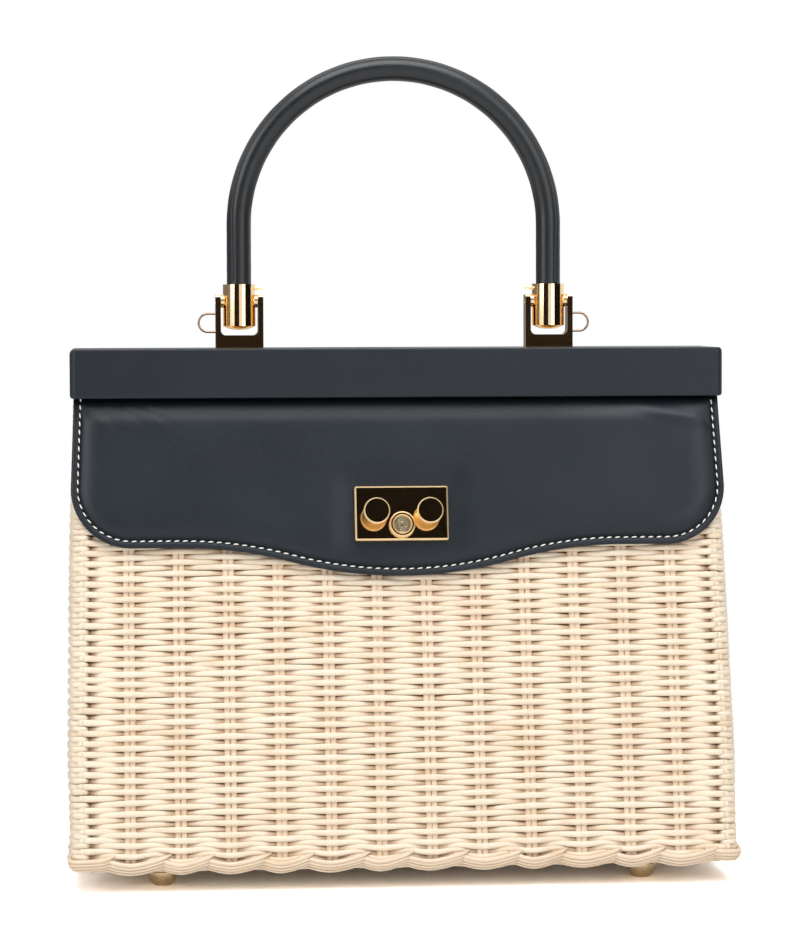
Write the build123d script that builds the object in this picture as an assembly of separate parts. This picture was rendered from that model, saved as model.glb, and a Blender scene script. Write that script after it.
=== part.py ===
from build123d import *
import os
from math import atan2, cos, sin

# A wicker handbag: a woven basket on four feet, closed by a leather-covered top bar
# with a padded flap, a two-knob clasp with a key lock, and an arched leather handle.
# Millimetres. X runs to the right, the front faces -Y, Z is up from the floor.

# Basket body
base_width = 330
base_depth = 150
top_width = 324
top_depth = 39
foot_height = 8
wall_top = 239
wall_thickness = 4.6
floor_thickness = 5
corner_cut = 7

# Weave: rows of reed that pass in front of one stake pair and behind the next
weave_rows = 37
wave_depth = 2.2
front_stakes = 12
stake_pitch = 24.6
side_stakes = 4
gap_width = 6
gap_height = 2.8
scallop_height = 2.8
scallop_width = 11
scallop_depth = 6

# Lining, base board and rim
lining_thickness = 1.2
board_thickness = 3
rim_width = 4.5
rim_height = 8
rim_inset = 2.5

# Feet and their screws
foot_diameter = 15
foot_flat = 4
foot_bowl = 7
foot_spread_x = 119.5
foot_spread_y = 45
foot_screw_radius = 1.95
screw_clearance = 0.05

# Top bar, an upside-down tray of wood covered with leather
bar_width = 327.5
bar_depth = 56
bar_bottom = 240
bar_top = 264.5
bar_corner = 3.5
cover_leather = 1
bar_wall = 2.5
bar_roof = 3

# Padded flap, counted outward from the crests of the front weave
flap_gap = 1.2
flap_lining_thickness = 0.8
flap_leather_thickness = 1.2
flap_foam_thickness = 2.5
flap_half_top = 161.8
flap_half_low = 163.5
flap_corner_radius = 30
flap_lowest = 151.3
flap_wave_rise = 14.5
flap_wave_half = 110
flap_piping = 7

# Clasp plate and lock
clasp_height = 181
plate_width = 46.5
plate_height = 27.2
plate_depth = 3.2
plate_skin = 1.2
case_width = 41
case_height = 24
case_skin = 0.8
knob_spread = 13.2
knob_drop = 0.65
knob_head_diameter = 13
knob_neck_diameter = 7.5
knob_reach = 12
latch_travel = 2.5
lock_drop = 6
lock_diameter = 12.9
lock_reach = 3
lock_recess = 1.8
keyhole_rise = 0.8

# Handle and its forks
handle_half = 78.6
handle_diameter = 12.4
leg_length = 30
pivot_height = 288.2
ferrule_diameter = 16.3
ferrule_bottom = 273.7
ferrule_top = 296.7
fork_width = 24
fork_depth = 10
fork_base = 6.5
fork_arm = 2.6
fork_rounding = 1.2
pin_radius = 1.5
boss_radius = 3.3
boss_reach = 9.25
stop_radius = 0.85
strap_wire = 0.55
seam_width = 2.8
seam_rise = 0.45
seam_angle = 40
socket_depth = 5
running_gap = 0.06

# Hinge along the rear edge
hinge_y = 26.2
hinge_z = 237
knuckle_radius = 2.5
hinge_pin_radius = 1.2
hinge_length = 290
hinge_knuckles = 11
leaf_thickness = 1.2

row_height = (wall_top - foot_height) / weave_rows
slope = atan2((base_depth - top_depth) / 2, wall_top - foot_height)
arch_centre = ferrule_top + leg_length

os.makedirs("parts", exist_ok=True)


def half_width(z):
    return (base_width + (top_width - base_width) * (z - foot_height) / (wall_top - foot_height)) / 2


def half_depth(z):
    return (base_depth + (top_depth - base_depth) * (z - foot_height) / (wall_top - foot_height)) / 2


def front_plane(z):
    """The crests of the front weave: x to the right, y up the slope, z outward."""
    return Plane(origin=(0, -half_depth(z), z), x_dir=(1, 0, 0), z_dir=(0, -cos(slope), sin(slope)))


def rear_plane(z):
    """The crests of the rear weave: x to the left, y up the slope, z outward."""
    return Plane(origin=(0, half_depth(z), z), x_dir=(-1, 0, 0), z_dir=(0, cos(slope), sin(slope)))


def block(x_range, y_range, z_range):
    """A box between three pairs of limits."""
    size = [high - low for low, high in (x_range, y_range, z_range)]
    middle = [(low + high) / 2 for low, high in (x_range, y_range, z_range)]
    return Pos(*middle) * Box(*size)


def rod(start, end, radius):
    """A straight round bar from one point to another."""
    axis = Vector(*end) - Vector(*start)
    return extrude(Plane(origin=start, z_dir=axis) * Circle(radius), axis.length)


def turned(profile):
    """A turned piece from a half profile of (radius, height) points."""
    outline = make_face(Plane.XZ * Polyline(*profile, close=True))
    return revolve(outline, Axis.Z)


def taper_block(inset, low, high):
    """The basket's inside space, this far in from the crests, between two heights."""
    depth_low = half_depth(low) - inset
    depth_high = half_depth(high) - inset
    width_low = half_width(low) - inset
    width_high = half_width(high) - inset
    ends = Polyline((-depth_low, low), (depth_low, low), (depth_high, high), (-depth_high, high), close=True)
    face = Polyline((-width_low, low), (width_low, low), (width_high, high), (-width_high, high), close=True)
    along = extrude(make_face(Plane.YZ * ends), base_width, both=True)
    across = extrude(make_face(Plane.XZ * face), base_depth, both=True)
    return along & across


# Woven basket


def row_outline(row):
    """One row of the weave in plan: out over a stake, in behind the next one."""
    z = foot_height + (row + 0.5) * row_height
    reach_x = half_width(z)
    reach_y = half_depth(z)
    side_pitch = 2 * reach_y / (side_stakes + 1)
    front = (front_stakes, stake_pitch, reach_x, reach_y)
    side = (side_stakes, side_pitch, reach_y, reach_x)
    turns = [(1, 0, front), (0, 1, side), (-1, 0, front), (0, -1, side)]
    points = []
    count = row
    for along_x, along_y, (stakes, pitch, half_length, distance) in turns:
        start_out = distance - wave_depth * ((count - 1) % 2)
        places = [(corner_cut - half_length, start_out)]
        for stake in range(stakes):
            places.append(((stake - (stakes - 1) / 2) * pitch, distance - wave_depth * (count % 2)))
            count += 1
        places.append((half_length - corner_cut, distance - wave_depth * (count % 2)))
        count += 1
        for along, out in places:
            points.append((along_x * along + along_y * out, along_y * along - along_x * out))
    return points


def corner_gaps():
    """Gaps beside the corner posts, in every second row of the front and the rear."""
    gaps = []
    for row in range(2, weave_rows - 1, 2):
        z = foot_height + (row + 0.5) * row_height
        x = half_width(z) - corner_cut - gap_width / 2 - 2
        for side in (-1, 1):
            for face in (-1, 1):
                gaps.append(Pos(side * x, face * half_depth(z), z) * Box(gap_width, 24, gap_height))
    return gaps


def border_scallops():
    """Notches under the lowest rows, half way between the stakes."""
    notch = make_face(Polyline((-scallop_width / 2, 0), (scallop_width / 2, 0), (0, scallop_height), close=True))
    prism = extrude(Plane.XZ * notch, scallop_depth, both=True)
    reach_x = half_width(foot_height)
    reach_y = half_depth(foot_height)
    side_pitch = 2 * reach_y / (side_stakes + 1)
    notches = []
    for side in (-1, 1):
        for stake in range(front_stakes + 1):
            x = (stake - front_stakes / 2) * stake_pitch
            notches.append(Pos(x, side * reach_y, foot_height) * prism)
        for stake in range(side_stakes + 1):
            y = (stake - side_stakes / 2) * side_pitch
            notches.append(Pos(side * reach_x, y, foot_height) * Rot(0, 0, 90) * prism)
    return notches


def rivet_places():
    """The catch plate's rivets, right and up from the clasp's centre."""
    return [(x, y) for x in (-14, 14) for y in (-7, 3)]


def hinge_rivet_places():
    return [-120, -40, 40, 120]


def make_woven_basket():
    rows = []
    for row in range(weave_rows):
        outline = make_face(Polyline(*row_outline(row), close=True))
        rows.append(extrude(Pos(0, 0, foot_height + row * row_height) * outline, row_height))
    basket = rows[0].fuse(*rows[1:])
    basket = basket - taper_block(wall_thickness, foot_height + floor_thickness, wall_top + 1)
    basket = basket - corner_gaps() - border_scallops()
    catch = front_plane(clasp_height)
    holes = [catch * Pos(0, -2, 0) * Box(43, 17, 1.6)]
    holes += [catch * Pos(x, y, -3) * Box(2.8, 2.8, 10) for x, y in rivet_places()]
    holes += [rear_plane(229) * Pos(x, 0, -3) * Box(3, 3, 12) for x in hinge_rivet_places()]
    for x, y in foot_places():
        holes.append(Pos(x, y, foot_height) * Box(4.8, 4.8, 3 * floor_thickness))
    return basket - holes


def make_lining():
    floor = foot_height + floor_thickness + board_thickness
    outer = taper_block(wall_thickness, floor, wall_top)
    return outer - taper_block(wall_thickness + lining_thickness, floor + lining_thickness, wall_top + 1)


def make_rim_binding():
    outer_x = half_width(wall_top) - rim_inset
    outer_y = half_depth(wall_top) - 1
    ring = Rectangle(2 * outer_x, 2 * outer_y) - Rectangle(2 * (outer_x - rim_width), 2 * (outer_y - rim_width))
    rim = extrude(Pos(0, 0, wall_top) * ring, rim_height)
    return chamfer(rim.faces().sort_by(Axis.Z)[-1].edges(), 1)


# Base board, feet and their screws


def foot_places():
    return [(x, y) for x in (-foot_spread_x, foot_spread_x) for y in (-foot_spread_y, foot_spread_y)]


def make_base_board():
    low = foot_height + floor_thickness
    half_x = half_width(low + board_thickness) - wall_thickness - 0.3
    half_y = half_depth(low + board_thickness) - wall_thickness - 0.3
    board = block((-half_x, half_x), (-half_y, half_y), (low, low + board_thickness))
    for x, y in foot_places():
        board -= Pos(x, y, low) * Cylinder(2.2, 20)
        board -= Pos(x, y, low + board_thickness) * Cylinder(4.3, 2 * 2.1)
    return board


def make_foot(x, y):
    """A bowl-shaped foot on a narrower neck."""
    radius = foot_diameter / 2
    neck = radius - 1.2
    bowl = RadiusArc((foot_flat, 0), (radius, foot_bowl), -9)
    rest = Polyline(
        (radius, foot_bowl),
        (radius - 0.5, foot_bowl + 0.5),
        (neck, foot_bowl + 0.5),
        (neck, foot_height),
        (0, foot_height),
        (0, 0),
        (foot_flat, 0),
    )
    foot = revolve(make_face(Plane.XZ * Curve([bowl, rest])), Axis.Z)
    foot -= Pos(0, 0, foot_height) * Cylinder(foot_screw_radius + screw_clearance, 10)
    return Pos(x, y, 0) * foot


def make_foot_screws():
    head_z = foot_height + floor_thickness + board_thickness - 2
    screws = []
    for x, y in foot_places():
        shank = rod((x, y, 3.5), (x, y, head_z), foot_screw_radius)
        screws.append(shank + rod((x, y, head_z), (x, y, head_z + 1.9), 4))
    return Compound(screws)


# Catch on the basket's front


def make_catch_plate():
    """A flat plate with two upright lugs that reach into the lock case."""
    plate = Pos(0, -2, 0) * Box(42, 16, 1.2)
    for side in (-1, 1):
        lug = block((-0.7, 0.7), (-4.2, 1.8), (0.6, 5.4))
        lug -= block((-1, 1), (-3, 0.6), (2.9, 4.8))
        plate += Pos(side * 18.3, 0, 0) * lug
    for x, y in rivet_places():
        plate -= Pos(x, y, 0) * Cylinder(1.3, 3)
    return front_plane(clasp_height) * plate


def make_catch_rivets():
    place = front_plane(clasp_height)
    return Compound([place * Pos(x, y, -1.85) * Cylinder(1.2, 4.9) for x, y in rivet_places()])


# Rear hinge and its leather band


def knuckle_spans(side):
    """Every second length of the hinge barrel, with a small gap between neighbours."""
    length = hinge_length / hinge_knuckles
    start = -hinge_length / 2
    spans = []
    for index in range(side, hinge_knuckles, 2):
        spans.append((start + index * length + 0.15, start + (index + 1) * length - 0.15))
    return spans


def make_rear_band():
    band = rear_plane(228) * Pos(0, 0, 1.7) * Box(310, 19, 2)
    for x in hinge_rivet_places():
        band -= rear_plane(229) * Pos(x, 0, 1) * Cylinder(1.6, 8)
    return band


def make_hinge_pin():
    half = hinge_length / 2
    return rod((-half, hinge_y, hinge_z), (half, hinge_y, hinge_z), hinge_pin_radius)


def make_leaf(spans, plate):
    """A hinge leaf: its plate, and the knuckles that wrap the pin."""
    leaf = plate
    for low, high in spans:
        leaf += rod((low, hinge_y, hinge_z), (high, hinge_y, hinge_z), knuckle_radius)
    half = hinge_length
    bore = hinge_pin_radius + running_gap
    return leaf - rod((-half, hinge_y, hinge_z), (half, hinge_y, hinge_z), bore)


def make_basket_leaf():
    top = rear_plane(hinge_z)
    plate = top * block((-hinge_length / 2, hinge_length / 2), (-17, -3.2), (2.8, 2.8 + leaf_thickness))
    for low, high in knuckle_spans(0):
        plate += top * block((-high, -low), (-4, 0.5), (2.8, 2.8 + leaf_thickness))
    for x in hinge_rivet_places():
        plate -= rear_plane(229) * Pos(x, 0, 1) * Cylinder(1.6, 8)
    return make_leaf(knuckle_spans(0), plate)


def make_hinge_rivets():
    rivets = []
    place = rear_plane(229)
    for x in hinge_rivet_places():
        shank = place * Pos(x, 0, -0.2) * Cylinder(1.4, 8.4)
        rivets.append(shank + place * Pos(x, 0, 4.4) * Cylinder(2.6, 0.8))
    return Compound(rivets)


def make_lid_leaf():
    back = bar_depth / 2 - cover_leather - bar_wall
    plate_y = (back - leaf_thickness, back)
    half = hinge_length / 2
    plate = block((-half, half), plate_y, (241, 253))
    for low, high in knuckle_spans(1):
        plate += block((low, high), plate_y, (hinge_z, 242))
    for x in hinge_screw_places():
        plate -= rod((x, 20, 248), (x, 30, 248), 1.3)
    return make_leaf(knuckle_spans(1), plate)


def hinge_screw_places():
    return [-130, -65, 0, 65, 130]


def make_hinge_screws():
    back = bar_depth / 2 - cover_leather - bar_wall
    screws = []
    for x in hinge_screw_places():
        head = rod((x, back - leaf_thickness - 0.9, 248), (x, back - leaf_thickness, 248), 2.4)
        screws.append(head + rod((x, back - leaf_thickness, 248), (x, back + 2, 248), 1.2))
    return Compound(screws)


# Top bar


def make_bar_leather():
    outer = block((-bar_width / 2, bar_width / 2), (-bar_depth / 2, bar_depth / 2), (bar_bottom, bar_top))
    outer = fillet(outer.edges().filter_by(Axis.Z), bar_corner)
    outer = chamfer(outer.faces().sort_by(Axis.Z)[-1].edges(), 0.8)
    return outer - bar_core() - fork_screw_holes()


def bar_core():
    half_x = bar_width / 2 - cover_leather
    half_y = bar_depth / 2 - cover_leather
    core = block((-half_x, half_x), (-half_y, half_y), (bar_bottom - 1, bar_top - cover_leather))
    return fillet(core.edges().filter_by(Axis.Z), bar_corner - cover_leather)


def make_top_bar():
    """The wooden tray inside the leather."""
    half_x = bar_width / 2 - cover_leather - bar_wall
    half_y = bar_depth / 2 - cover_leather - bar_wall
    roof = bar_top - cover_leather - bar_roof
    tray = bar_core() - block((-half_x, half_x), (-half_y, half_y), (0, roof))
    tray -= block((-bar_width, bar_width), (-bar_depth, bar_depth), (0, bar_bottom))
    for x in hinge_screw_places():
        tray -= rod((x, half_y - 1, 248), (x, half_y + 2.1, 248), 1.25)
    return tray - fork_screw_holes()


# Padded flap


def flap_face(inset):
    """The flap's outline on the slope of the front wall, this far in from its edge."""
    up = 1 / cos(slope)
    top = (bar_bottom + 1 - clasp_height) * up
    shoulder = (flap_lowest + flap_wave_rise - clasp_height) * up + inset
    lowest = (flap_lowest - clasp_height) * up + inset
    half_top = flap_half_top - inset
    half_low = flap_half_low - inset
    radius = flap_corner_radius - inset
    rise = shoulder - lowest
    wave_radius = (flap_wave_half ** 2 + rise ** 2) / (4 * rise)
    middle = (flap_wave_half / 2, (lowest + shoulder) / 2)
    edges = []
    for side in (-1, 1):
        edges.append(Line((0, top), (side * half_top, top)))
        edges.append(Line((side * half_top, top), (side * half_low, shoulder + radius)))
        edges.append(RadiusArc((side * half_low, shoulder + radius), (side * (half_low - radius), shoulder), side * radius))
        edges.append(Line((side * (half_low - radius), shoulder), (side * flap_wave_half, shoulder)))
        edges.append(RadiusArc((side * flap_wave_half, shoulder), (side * middle[0], middle[1]), -side * wave_radius))
        edges.append(RadiusArc((side * middle[0], middle[1]), (0, lowest), side * wave_radius))
    return make_face(Curve(edges).edges())


def flap_sheet(inset, low, high):
    """A flat layer of the flap between two distances from the weave."""
    return front_plane(clasp_height) * extrude(Pos(0, 0, low) * flap_face(inset), high - low)


def flap_window():
    return front_plane(clasp_height) * Box(case_width + 0.6, case_height + 0.6, 30)


def bar_shadow():
    """Everything from just under the bar's front edge upward."""
    return block((-200, 200), (-60, 60), (bar_bottom - 0.6, 300))


def flap_tab(y_range):
    """The straight tongue that goes up inside the bar."""
    return block((4 - flap_half_top, flap_half_top - 4), y_range, (bar_bottom - 1.5, 256))


def make_flap_lining():
    low = flap_gap
    return flap_sheet(0.3, low, low + flap_lining_thickness) - flap_window() - bar_shadow()


def make_flap_padding():
    low = flap_gap + flap_lining_thickness
    foam = flap_sheet(flap_piping + 2, low, low + flap_foam_thickness)
    return foam - flap_window() - block((-200, 200), (-60, 60), (bar_bottom - 9, 300))


def make_flap_leather():
    low = flap_gap + flap_lining_thickness
    middle = low + flap_leather_thickness
    high = middle + flap_foam_thickness
    cover = flap_sheet(flap_piping, low, high)
    cover -= block((-200, 200), (-60, 60), (bar_bottom - 5, 300))
    outward = Axis((0, 0, 0), front_plane(clasp_height).z_dir)
    cover = chamfer(cover.faces().sort_by(outward)[-1].edges(), 2)
    flap = flap_sheet(0, low, middle) + cover
    flap = flap - bar_shadow()
    front = -(bar_depth / 2 - cover_leather - bar_wall)
    flap += flap_tab((front, front + flap_leather_thickness + 0.8))
    return flap - make_flap_padding() - flap_window()


# Clasp: plate, lock case, latches and key lock, drawn about the clasp's centre


def clasp_level():
    return flap_gap + flap_lining_thickness + flap_leather_thickness + flap_foam_thickness


def clasp_screw_places():
    return [(x, y) for x in (-9, 9) for y in (-9.6, 9.6)]


def make_clasp_plate():
    low = clasp_level()
    plate = Pos(0, 0, low + plate_depth / 2) * Box(plate_width, plate_height, plate_depth)
    plate = fillet(plate.edges().filter_by(Axis.Z), 1)
    plate = chamfer(plate.faces().sort_by(Axis.Z)[-1].edges(), 0.8)
    hollow = block((-20.5, 20.5), (-12, 12), (low - 1, low + plate_depth - plate_skin))
    plate -= hollow
    for x, y in clasp_screw_places():
        plate += rod((x, y, 2.2), (x, y, low + plate_depth - plate_skin), 1.5)
        plate -= rod((x, y, 2), (x, y, low + 1), 0.75)
    for side in (-1, 1):
        slot = block((side * knob_spread - 1.7, side * knob_spread + 1.7), (-1.7, 1.7), (0, 20))
        slot += Pos(-side * latch_travel, 0, 0) * slot
        slot += block(sorted((side * knob_spread, side * (knob_spread - latch_travel))), (-1.7, 1.7), (0, 20))
        plate -= Pos(0, -knob_drop, 0) * slot
    plate += block((-0.8, 0.8), (1, 5), (3, low + plate_depth - plate_skin))
    plate -= rod((0, -lock_drop, 0), (0, -lock_drop, 20), 4.3)
    return front_plane(clasp_height) * plate


def make_lock_case():
    """The tray behind the plate, with two mouths for the catch's lugs."""
    low = 1.3
    case = block((-case_width / 2, case_width / 2), (-case_height / 2, case_height / 2), (low, clasp_level()))
    inner_x = case_width / 2 - case_skin
    inner_y = case_height / 2 - case_skin
    case -= block((-inner_x, inner_x), (-inner_y, inner_y), (low + case_skin, 20))
    for side in (-1, 1):
        case -= Pos(side * 18.3, 0, 0) * block((-1.2, 1.2), (-9.5, 2.6), (0, 3))
    for x, y in clasp_screw_places():
        case -= rod((x, y, 0), (x, y, 4), 0.9)
    return front_plane(clasp_height) * case


def make_clasp_screws():
    screws = []
    for x, y in clasp_screw_places():
        screw = rod((x, y, 0.95), (x, y, 1.3), 1.4) + rod((x, y, 1.3), (x, y, 5.5), 0.7)
        screws.append(front_plane(clasp_height) * screw)
    return Compound(screws)


def make_knob(side):
    """A turned press knob with a foot collar over its slot."""
    base = clasp_level() + plate_depth + 0.15
    neck = knob_neck_diameter / 2
    head = knob_head_diameter / 2
    top = base + knob_reach
    profile = [(0, 4.6), (1.5, 4.6), (1.5, base), (4.8, base), (4.8, base + 0.8), (neck, base + 1.6)]
    profile += [(neck, top - 4.5), (head - 0.6, top - 3.2), (head, top - 2.6), (head, top - 0.6)]
    profile += [(head - 0.6, top), (0, top)]
    return front_plane(clasp_height) * Pos(side * knob_spread, -knob_drop, 0) * turned(profile)


def make_slider(side):
    slider = block((9.5, 16.2), (-3.4, 5), (3.2, 4.6)) + block((16.2, 17.3), (-2.7, 0.3), (3.2, 4.6))
    if side < 0:
        slider = mirror(slider, Plane.YZ)
    return front_plane(clasp_height) * slider


def make_latch_spring(side):
    """A flat zigzag spring between the centre post and the slider."""
    turns = [(1.1, 1.4), (2.2, 4.6), (3.5, 1.4), (4.8, 4.6), (6.1, 1.4), (7.4, 4.6), (8.6, 1.4), (9.15, 3)]
    strip = trace(Polyline(*[(side * x, y) for x, y in turns]), 0.35)
    return front_plane(clasp_height) * extrude(Pos(0, 0, 3.3) * strip, 1.2)


def make_lock_collar():
    base = clasp_level() + plate_depth
    outer = lock_diameter / 2
    profile = [(4.3, base), (outer, base), (outer, base + lock_reach - 0.8)]
    profile += [(outer - 0.8, base + lock_reach), (4.9, base + lock_reach), (4.3, base + lock_reach - 0.6)]
    return front_plane(clasp_height) * Pos(0, -lock_drop, 0) * turned(profile)


def make_lock_plug():
    """The turning core, with a raised boss shaped as a keyhole and the key's slot in it."""
    face = clasp_level() + plate_depth + lock_reach - lock_recess
    plug = rod((0, 0, 3.1), (0, 0, face), 4.2)
    tail = make_face(Polyline((-1.3, 0), (1.3, 0), (1.7, -3.7), (-1.7, -3.7), close=True))
    boss = Pos(0, keyhole_rise, 0) * Circle(2.7) + tail
    plug += extrude(Pos(0, 0, face) * boss, lock_recess - 0.3)
    plug -= rod((0, keyhole_rise, face - 2), (0, keyhole_rise, face + 2), 0.8)
    plug -= block((-0.4, 0.4), (-2, keyhole_rise), (face - 2, face + 2))
    return front_plane(clasp_height) * Pos(0, -lock_drop, 0) * plug


def make_lock_cam():
    cam = Pos(0, 0, 2.75) * Cylinder(3, 0.7) + block((-1.6, 1.6), (-4.6, 0), (2.4, 3.1))
    return front_plane(clasp_height) * Pos(0, -lock_drop, 0) * cam


# Handle forks, strap loops and pivots


def make_fork(side):
    inner = fork_width / 2 - fork_arm
    arm_top = pivot_height + 3
    base = block((-fork_width / 2, fork_width / 2), (-fork_depth / 2, fork_depth / 2), (bar_top, arm_top))
    mouth = block((-inner, inner), (-fork_depth, fork_depth), (bar_top + fork_base, arm_top + 20))
    mouth = fillet(mouth.edges().filter_by(Axis.Y), 2.6)
    fork = base - mouth
    tops = fork.faces().filter_by(Axis.Z).sort_by(Axis.Z)[-2:]
    corners = [edge for face in tops for edge in face.edges().filter_by(Axis.X)]
    fork = fillet(corners, fork_rounding)
    fork -= rod((-20, 0, pivot_height), (20, 0, pivot_height), pin_radius)
    for x in (-5, 5):
        fork -= rod((x, 0, bar_top - 1), (x, 0, bar_top + 5), 1.25)
    return Pos(side * handle_half, 0, 0) * fork


def fork_screw_holes():
    holes = []
    for side in (-1, 1):
        for x in (-5, 5):
            place = side * handle_half + x
            holes.append(rod((place, 0, bar_bottom), (place, 0, bar_top + 5), 1.35))
    return holes


def make_fork_screws():
    roof = bar_top - cover_leather - bar_roof
    screws = []
    for side in (-1, 1):
        for x in (-5, 5):
            place = side * handle_half + x
            head = rod((place, 0, roof - 1.6), (place, 0, roof), 2.6)
            screws.append(head + rod((place, 0, roof), (place, 0, bar_top + 4.5), 1.2))
    return Compound(screws)


def make_strap_loop(side):
    """A fixed wire loop that stands out from the fork's outer arm."""
    bend = 4.6
    reach = 3.9
    centre = bar_top + 12.8
    start = handle_half + fork_width / 2
    out = Line((start, 0, centre + bend), (start + reach, 0, centre + bend))
    arc = ThreePointArc(
        (start + reach, 0, centre + bend),
        (start + reach + bend, 0, centre),
        (start + reach, 0, centre - bend),
    )
    back = Line((start + reach, 0, centre - bend), (start, 0, centre - bend))
    section = Plane(origin=(start, 0, centre + bend), z_dir=(1, 0, 0)) * Circle(strap_wire)
    loop = sweep(section, path=Curve([out, arc, back]))
    return loop if side > 0 else mirror(loop, Plane.YZ)


def make_pivot_pin(side):
    """The pin through both arms, just short of their outer faces."""
    half = fork_width / 2 - 0.05
    return Pos(side * handle_half, 0, 0) * rod((-half, 0, pivot_height), (half, 0, pivot_height), pin_radius)


# Handle


def handle_path(start):
    """Up the left leg, over the arch and down the right leg, between two like heights."""
    left = Line((-handle_half, 0, start), (-handle_half, 0, arch_centre))
    arch = ThreePointArc(
        (-handle_half, 0, arch_centre),
        (0, 0, arch_centre + handle_half),
        (handle_half, 0, arch_centre),
    )
    right = Line((handle_half, 0, arch_centre), (handle_half, 0, start))
    return Curve([left, arch, right])


def make_handle_grip():
    """A rolled leather arch with the raised edge of its seam on the outer front side."""
    end = ferrule_top - socket_depth
    grip = sweep(Pos(-handle_half, 0, end) * Circle(handle_diameter / 2), path=handle_path(end))
    start = ferrule_top + 0.5
    seam = Pos(-handle_diameter / 2, 0, 0) * Rectangle(2 * seam_rise, seam_width)
    seam = Pos(-handle_half, 0, start) * Rot(0, 0, seam_angle) * seam
    return grip + sweep(seam, path=handle_path(start))


def make_ferrule(side):
    radius = ferrule_diameter / 2
    bottom = ferrule_bottom
    dome = RadiusArc((0, bottom), (radius, bottom + 2), -16)
    socket = handle_diameter / 2 + 0.02
    rest = Polyline(
        (radius, bottom + 2),
        (radius, ferrule_top),
        (socket, ferrule_top),
        (socket, ferrule_top - socket_depth),
        (0, ferrule_top - socket_depth),
        (0, bottom),
    )
    ferrule = revolve(make_face(Plane.XZ * Curve([dome, rest])), Axis.Z)
    for end in (-1, 1):
        boss = rod((end * (radius - 1), 0, pivot_height), (end * boss_reach, 0, pivot_height), boss_radius)
        ferrule += boss
    ferrule -= rod((-20, 0, pivot_height), (20, 0, pivot_height), pin_radius + running_gap)
    stop_z = ferrule_top - 2
    ferrule -= rod((-side * 6.3, 0, stop_z), (-side * 20, 0, stop_z), stop_radius + 0.02)
    return Pos(side * handle_half, 0, 0) * ferrule


def make_stop_pin(side):
    """A short stub out of the ferrule's inner side, over the fork's arm."""
    stop_z = ferrule_top - 2
    x = side * handle_half
    return rod((x - side * 6.4, 0, stop_z), (x - side * 11.8, 0, stop_z), stop_radius)


def write(name, shape):
    export_step(shape, f"parts/{name}.step")


write("woven_basket", make_woven_basket())
write("lining", make_lining())
write("rim_binding", make_rim_binding())
write("base_board", make_base_board())
for (x, y), name in zip(foot_places(), ("front_left", "rear_left", "front_right", "rear_right")):
    write(f"foot_{name}", make_foot(x, y))
write("foot_screws", make_foot_screws())
write("catch_plate", make_catch_plate())
write("catch_rivets", make_catch_rivets())
write("rear_band", make_rear_band())
write("basket_hinge_leaf", make_basket_leaf())
write("hinge_rivets", make_hinge_rivets())
write("hinge_pin", make_hinge_pin())
write("lid_hinge_leaf", make_lid_leaf())
write("hinge_screws", make_hinge_screws())
write("top_bar", make_top_bar())
write("top_bar_leather", make_bar_leather())
write("flap_leather", make_flap_leather())
write("flap_padding", make_flap_padding())
write("flap_lining", make_flap_lining())
write("clasp_plate", make_clasp_plate())
write("lock_case", make_lock_case())
write("clasp_screws", make_clasp_screws())
write("lock_collar", make_lock_collar())
write("lock_plug", make_lock_plug())
write("lock_cam", make_lock_cam())
write("fork_screws", make_fork_screws())
write("handle_grip", make_handle_grip())
for side, name in ((-1, "left"), (1, "right")):
    write(f"knob_{name}", make_knob(side))
    write(f"latch_slider_{name}", make_slider(side))
    write(f"latch_spring_{name}", make_latch_spring(side))
    write(f"handle_fork_{name}", make_fork(side))
    write(f"strap_loop_{name}", make_strap_loop(side))
    write(f"pivot_pin_{name}", make_pivot_pin(side))
    write(f"ferrule_{name}", make_ferrule(side))
    write(f"stop_pin_{name}", make_stop_pin(side))
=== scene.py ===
from math import atan2, cos, pi, radians, sin

import bpy
import numpy as np
from mathutils import Matrix, Vector
from mathutils.geometry import delaunay_2d_cdt


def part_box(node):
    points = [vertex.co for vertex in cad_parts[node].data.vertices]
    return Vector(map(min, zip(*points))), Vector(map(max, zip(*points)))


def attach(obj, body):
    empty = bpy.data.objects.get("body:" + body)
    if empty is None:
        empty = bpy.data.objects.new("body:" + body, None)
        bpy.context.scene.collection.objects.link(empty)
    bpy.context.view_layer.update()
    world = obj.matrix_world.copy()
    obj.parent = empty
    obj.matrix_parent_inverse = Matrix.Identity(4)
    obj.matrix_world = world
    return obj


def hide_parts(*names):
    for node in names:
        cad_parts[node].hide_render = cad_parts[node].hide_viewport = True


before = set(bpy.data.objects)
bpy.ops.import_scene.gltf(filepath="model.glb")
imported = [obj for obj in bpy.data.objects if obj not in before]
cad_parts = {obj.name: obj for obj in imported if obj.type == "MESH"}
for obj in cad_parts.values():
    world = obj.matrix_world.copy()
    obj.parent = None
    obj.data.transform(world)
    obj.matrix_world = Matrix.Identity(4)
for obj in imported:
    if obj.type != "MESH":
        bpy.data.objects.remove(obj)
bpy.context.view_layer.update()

scene = bpy.context.scene
MM = 0.001

# Places read from the frame

rim_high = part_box("rim_binding")[1]
bar_low, bar_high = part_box("top_bar_leather")
grip_low, grip_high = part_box("handle_grip")
FOOT_HEIGHT = 8 * MM
WALL_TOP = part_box("woven_basket")[1].z
BASE_HALF_X = 165 * MM
BASE_HALF_Y = 75 * MM
TOP_HALF_X = rim_high.x + 2.5 * MM
TOP_HALF_Y = rim_high.y + 1 * MM
LEAN_FRONT = (BASE_HALF_Y - TOP_HALF_Y) / (WALL_TOP - FOOT_HEIGHT)
LEAN_SIDE = (BASE_HALF_X - TOP_HALF_X) / (WALL_TOP - FOOT_HEIGHT)
SLOPE = atan2(LEAN_FRONT, 1)
SIDE_SWELL = 1.3 * MM


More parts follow.
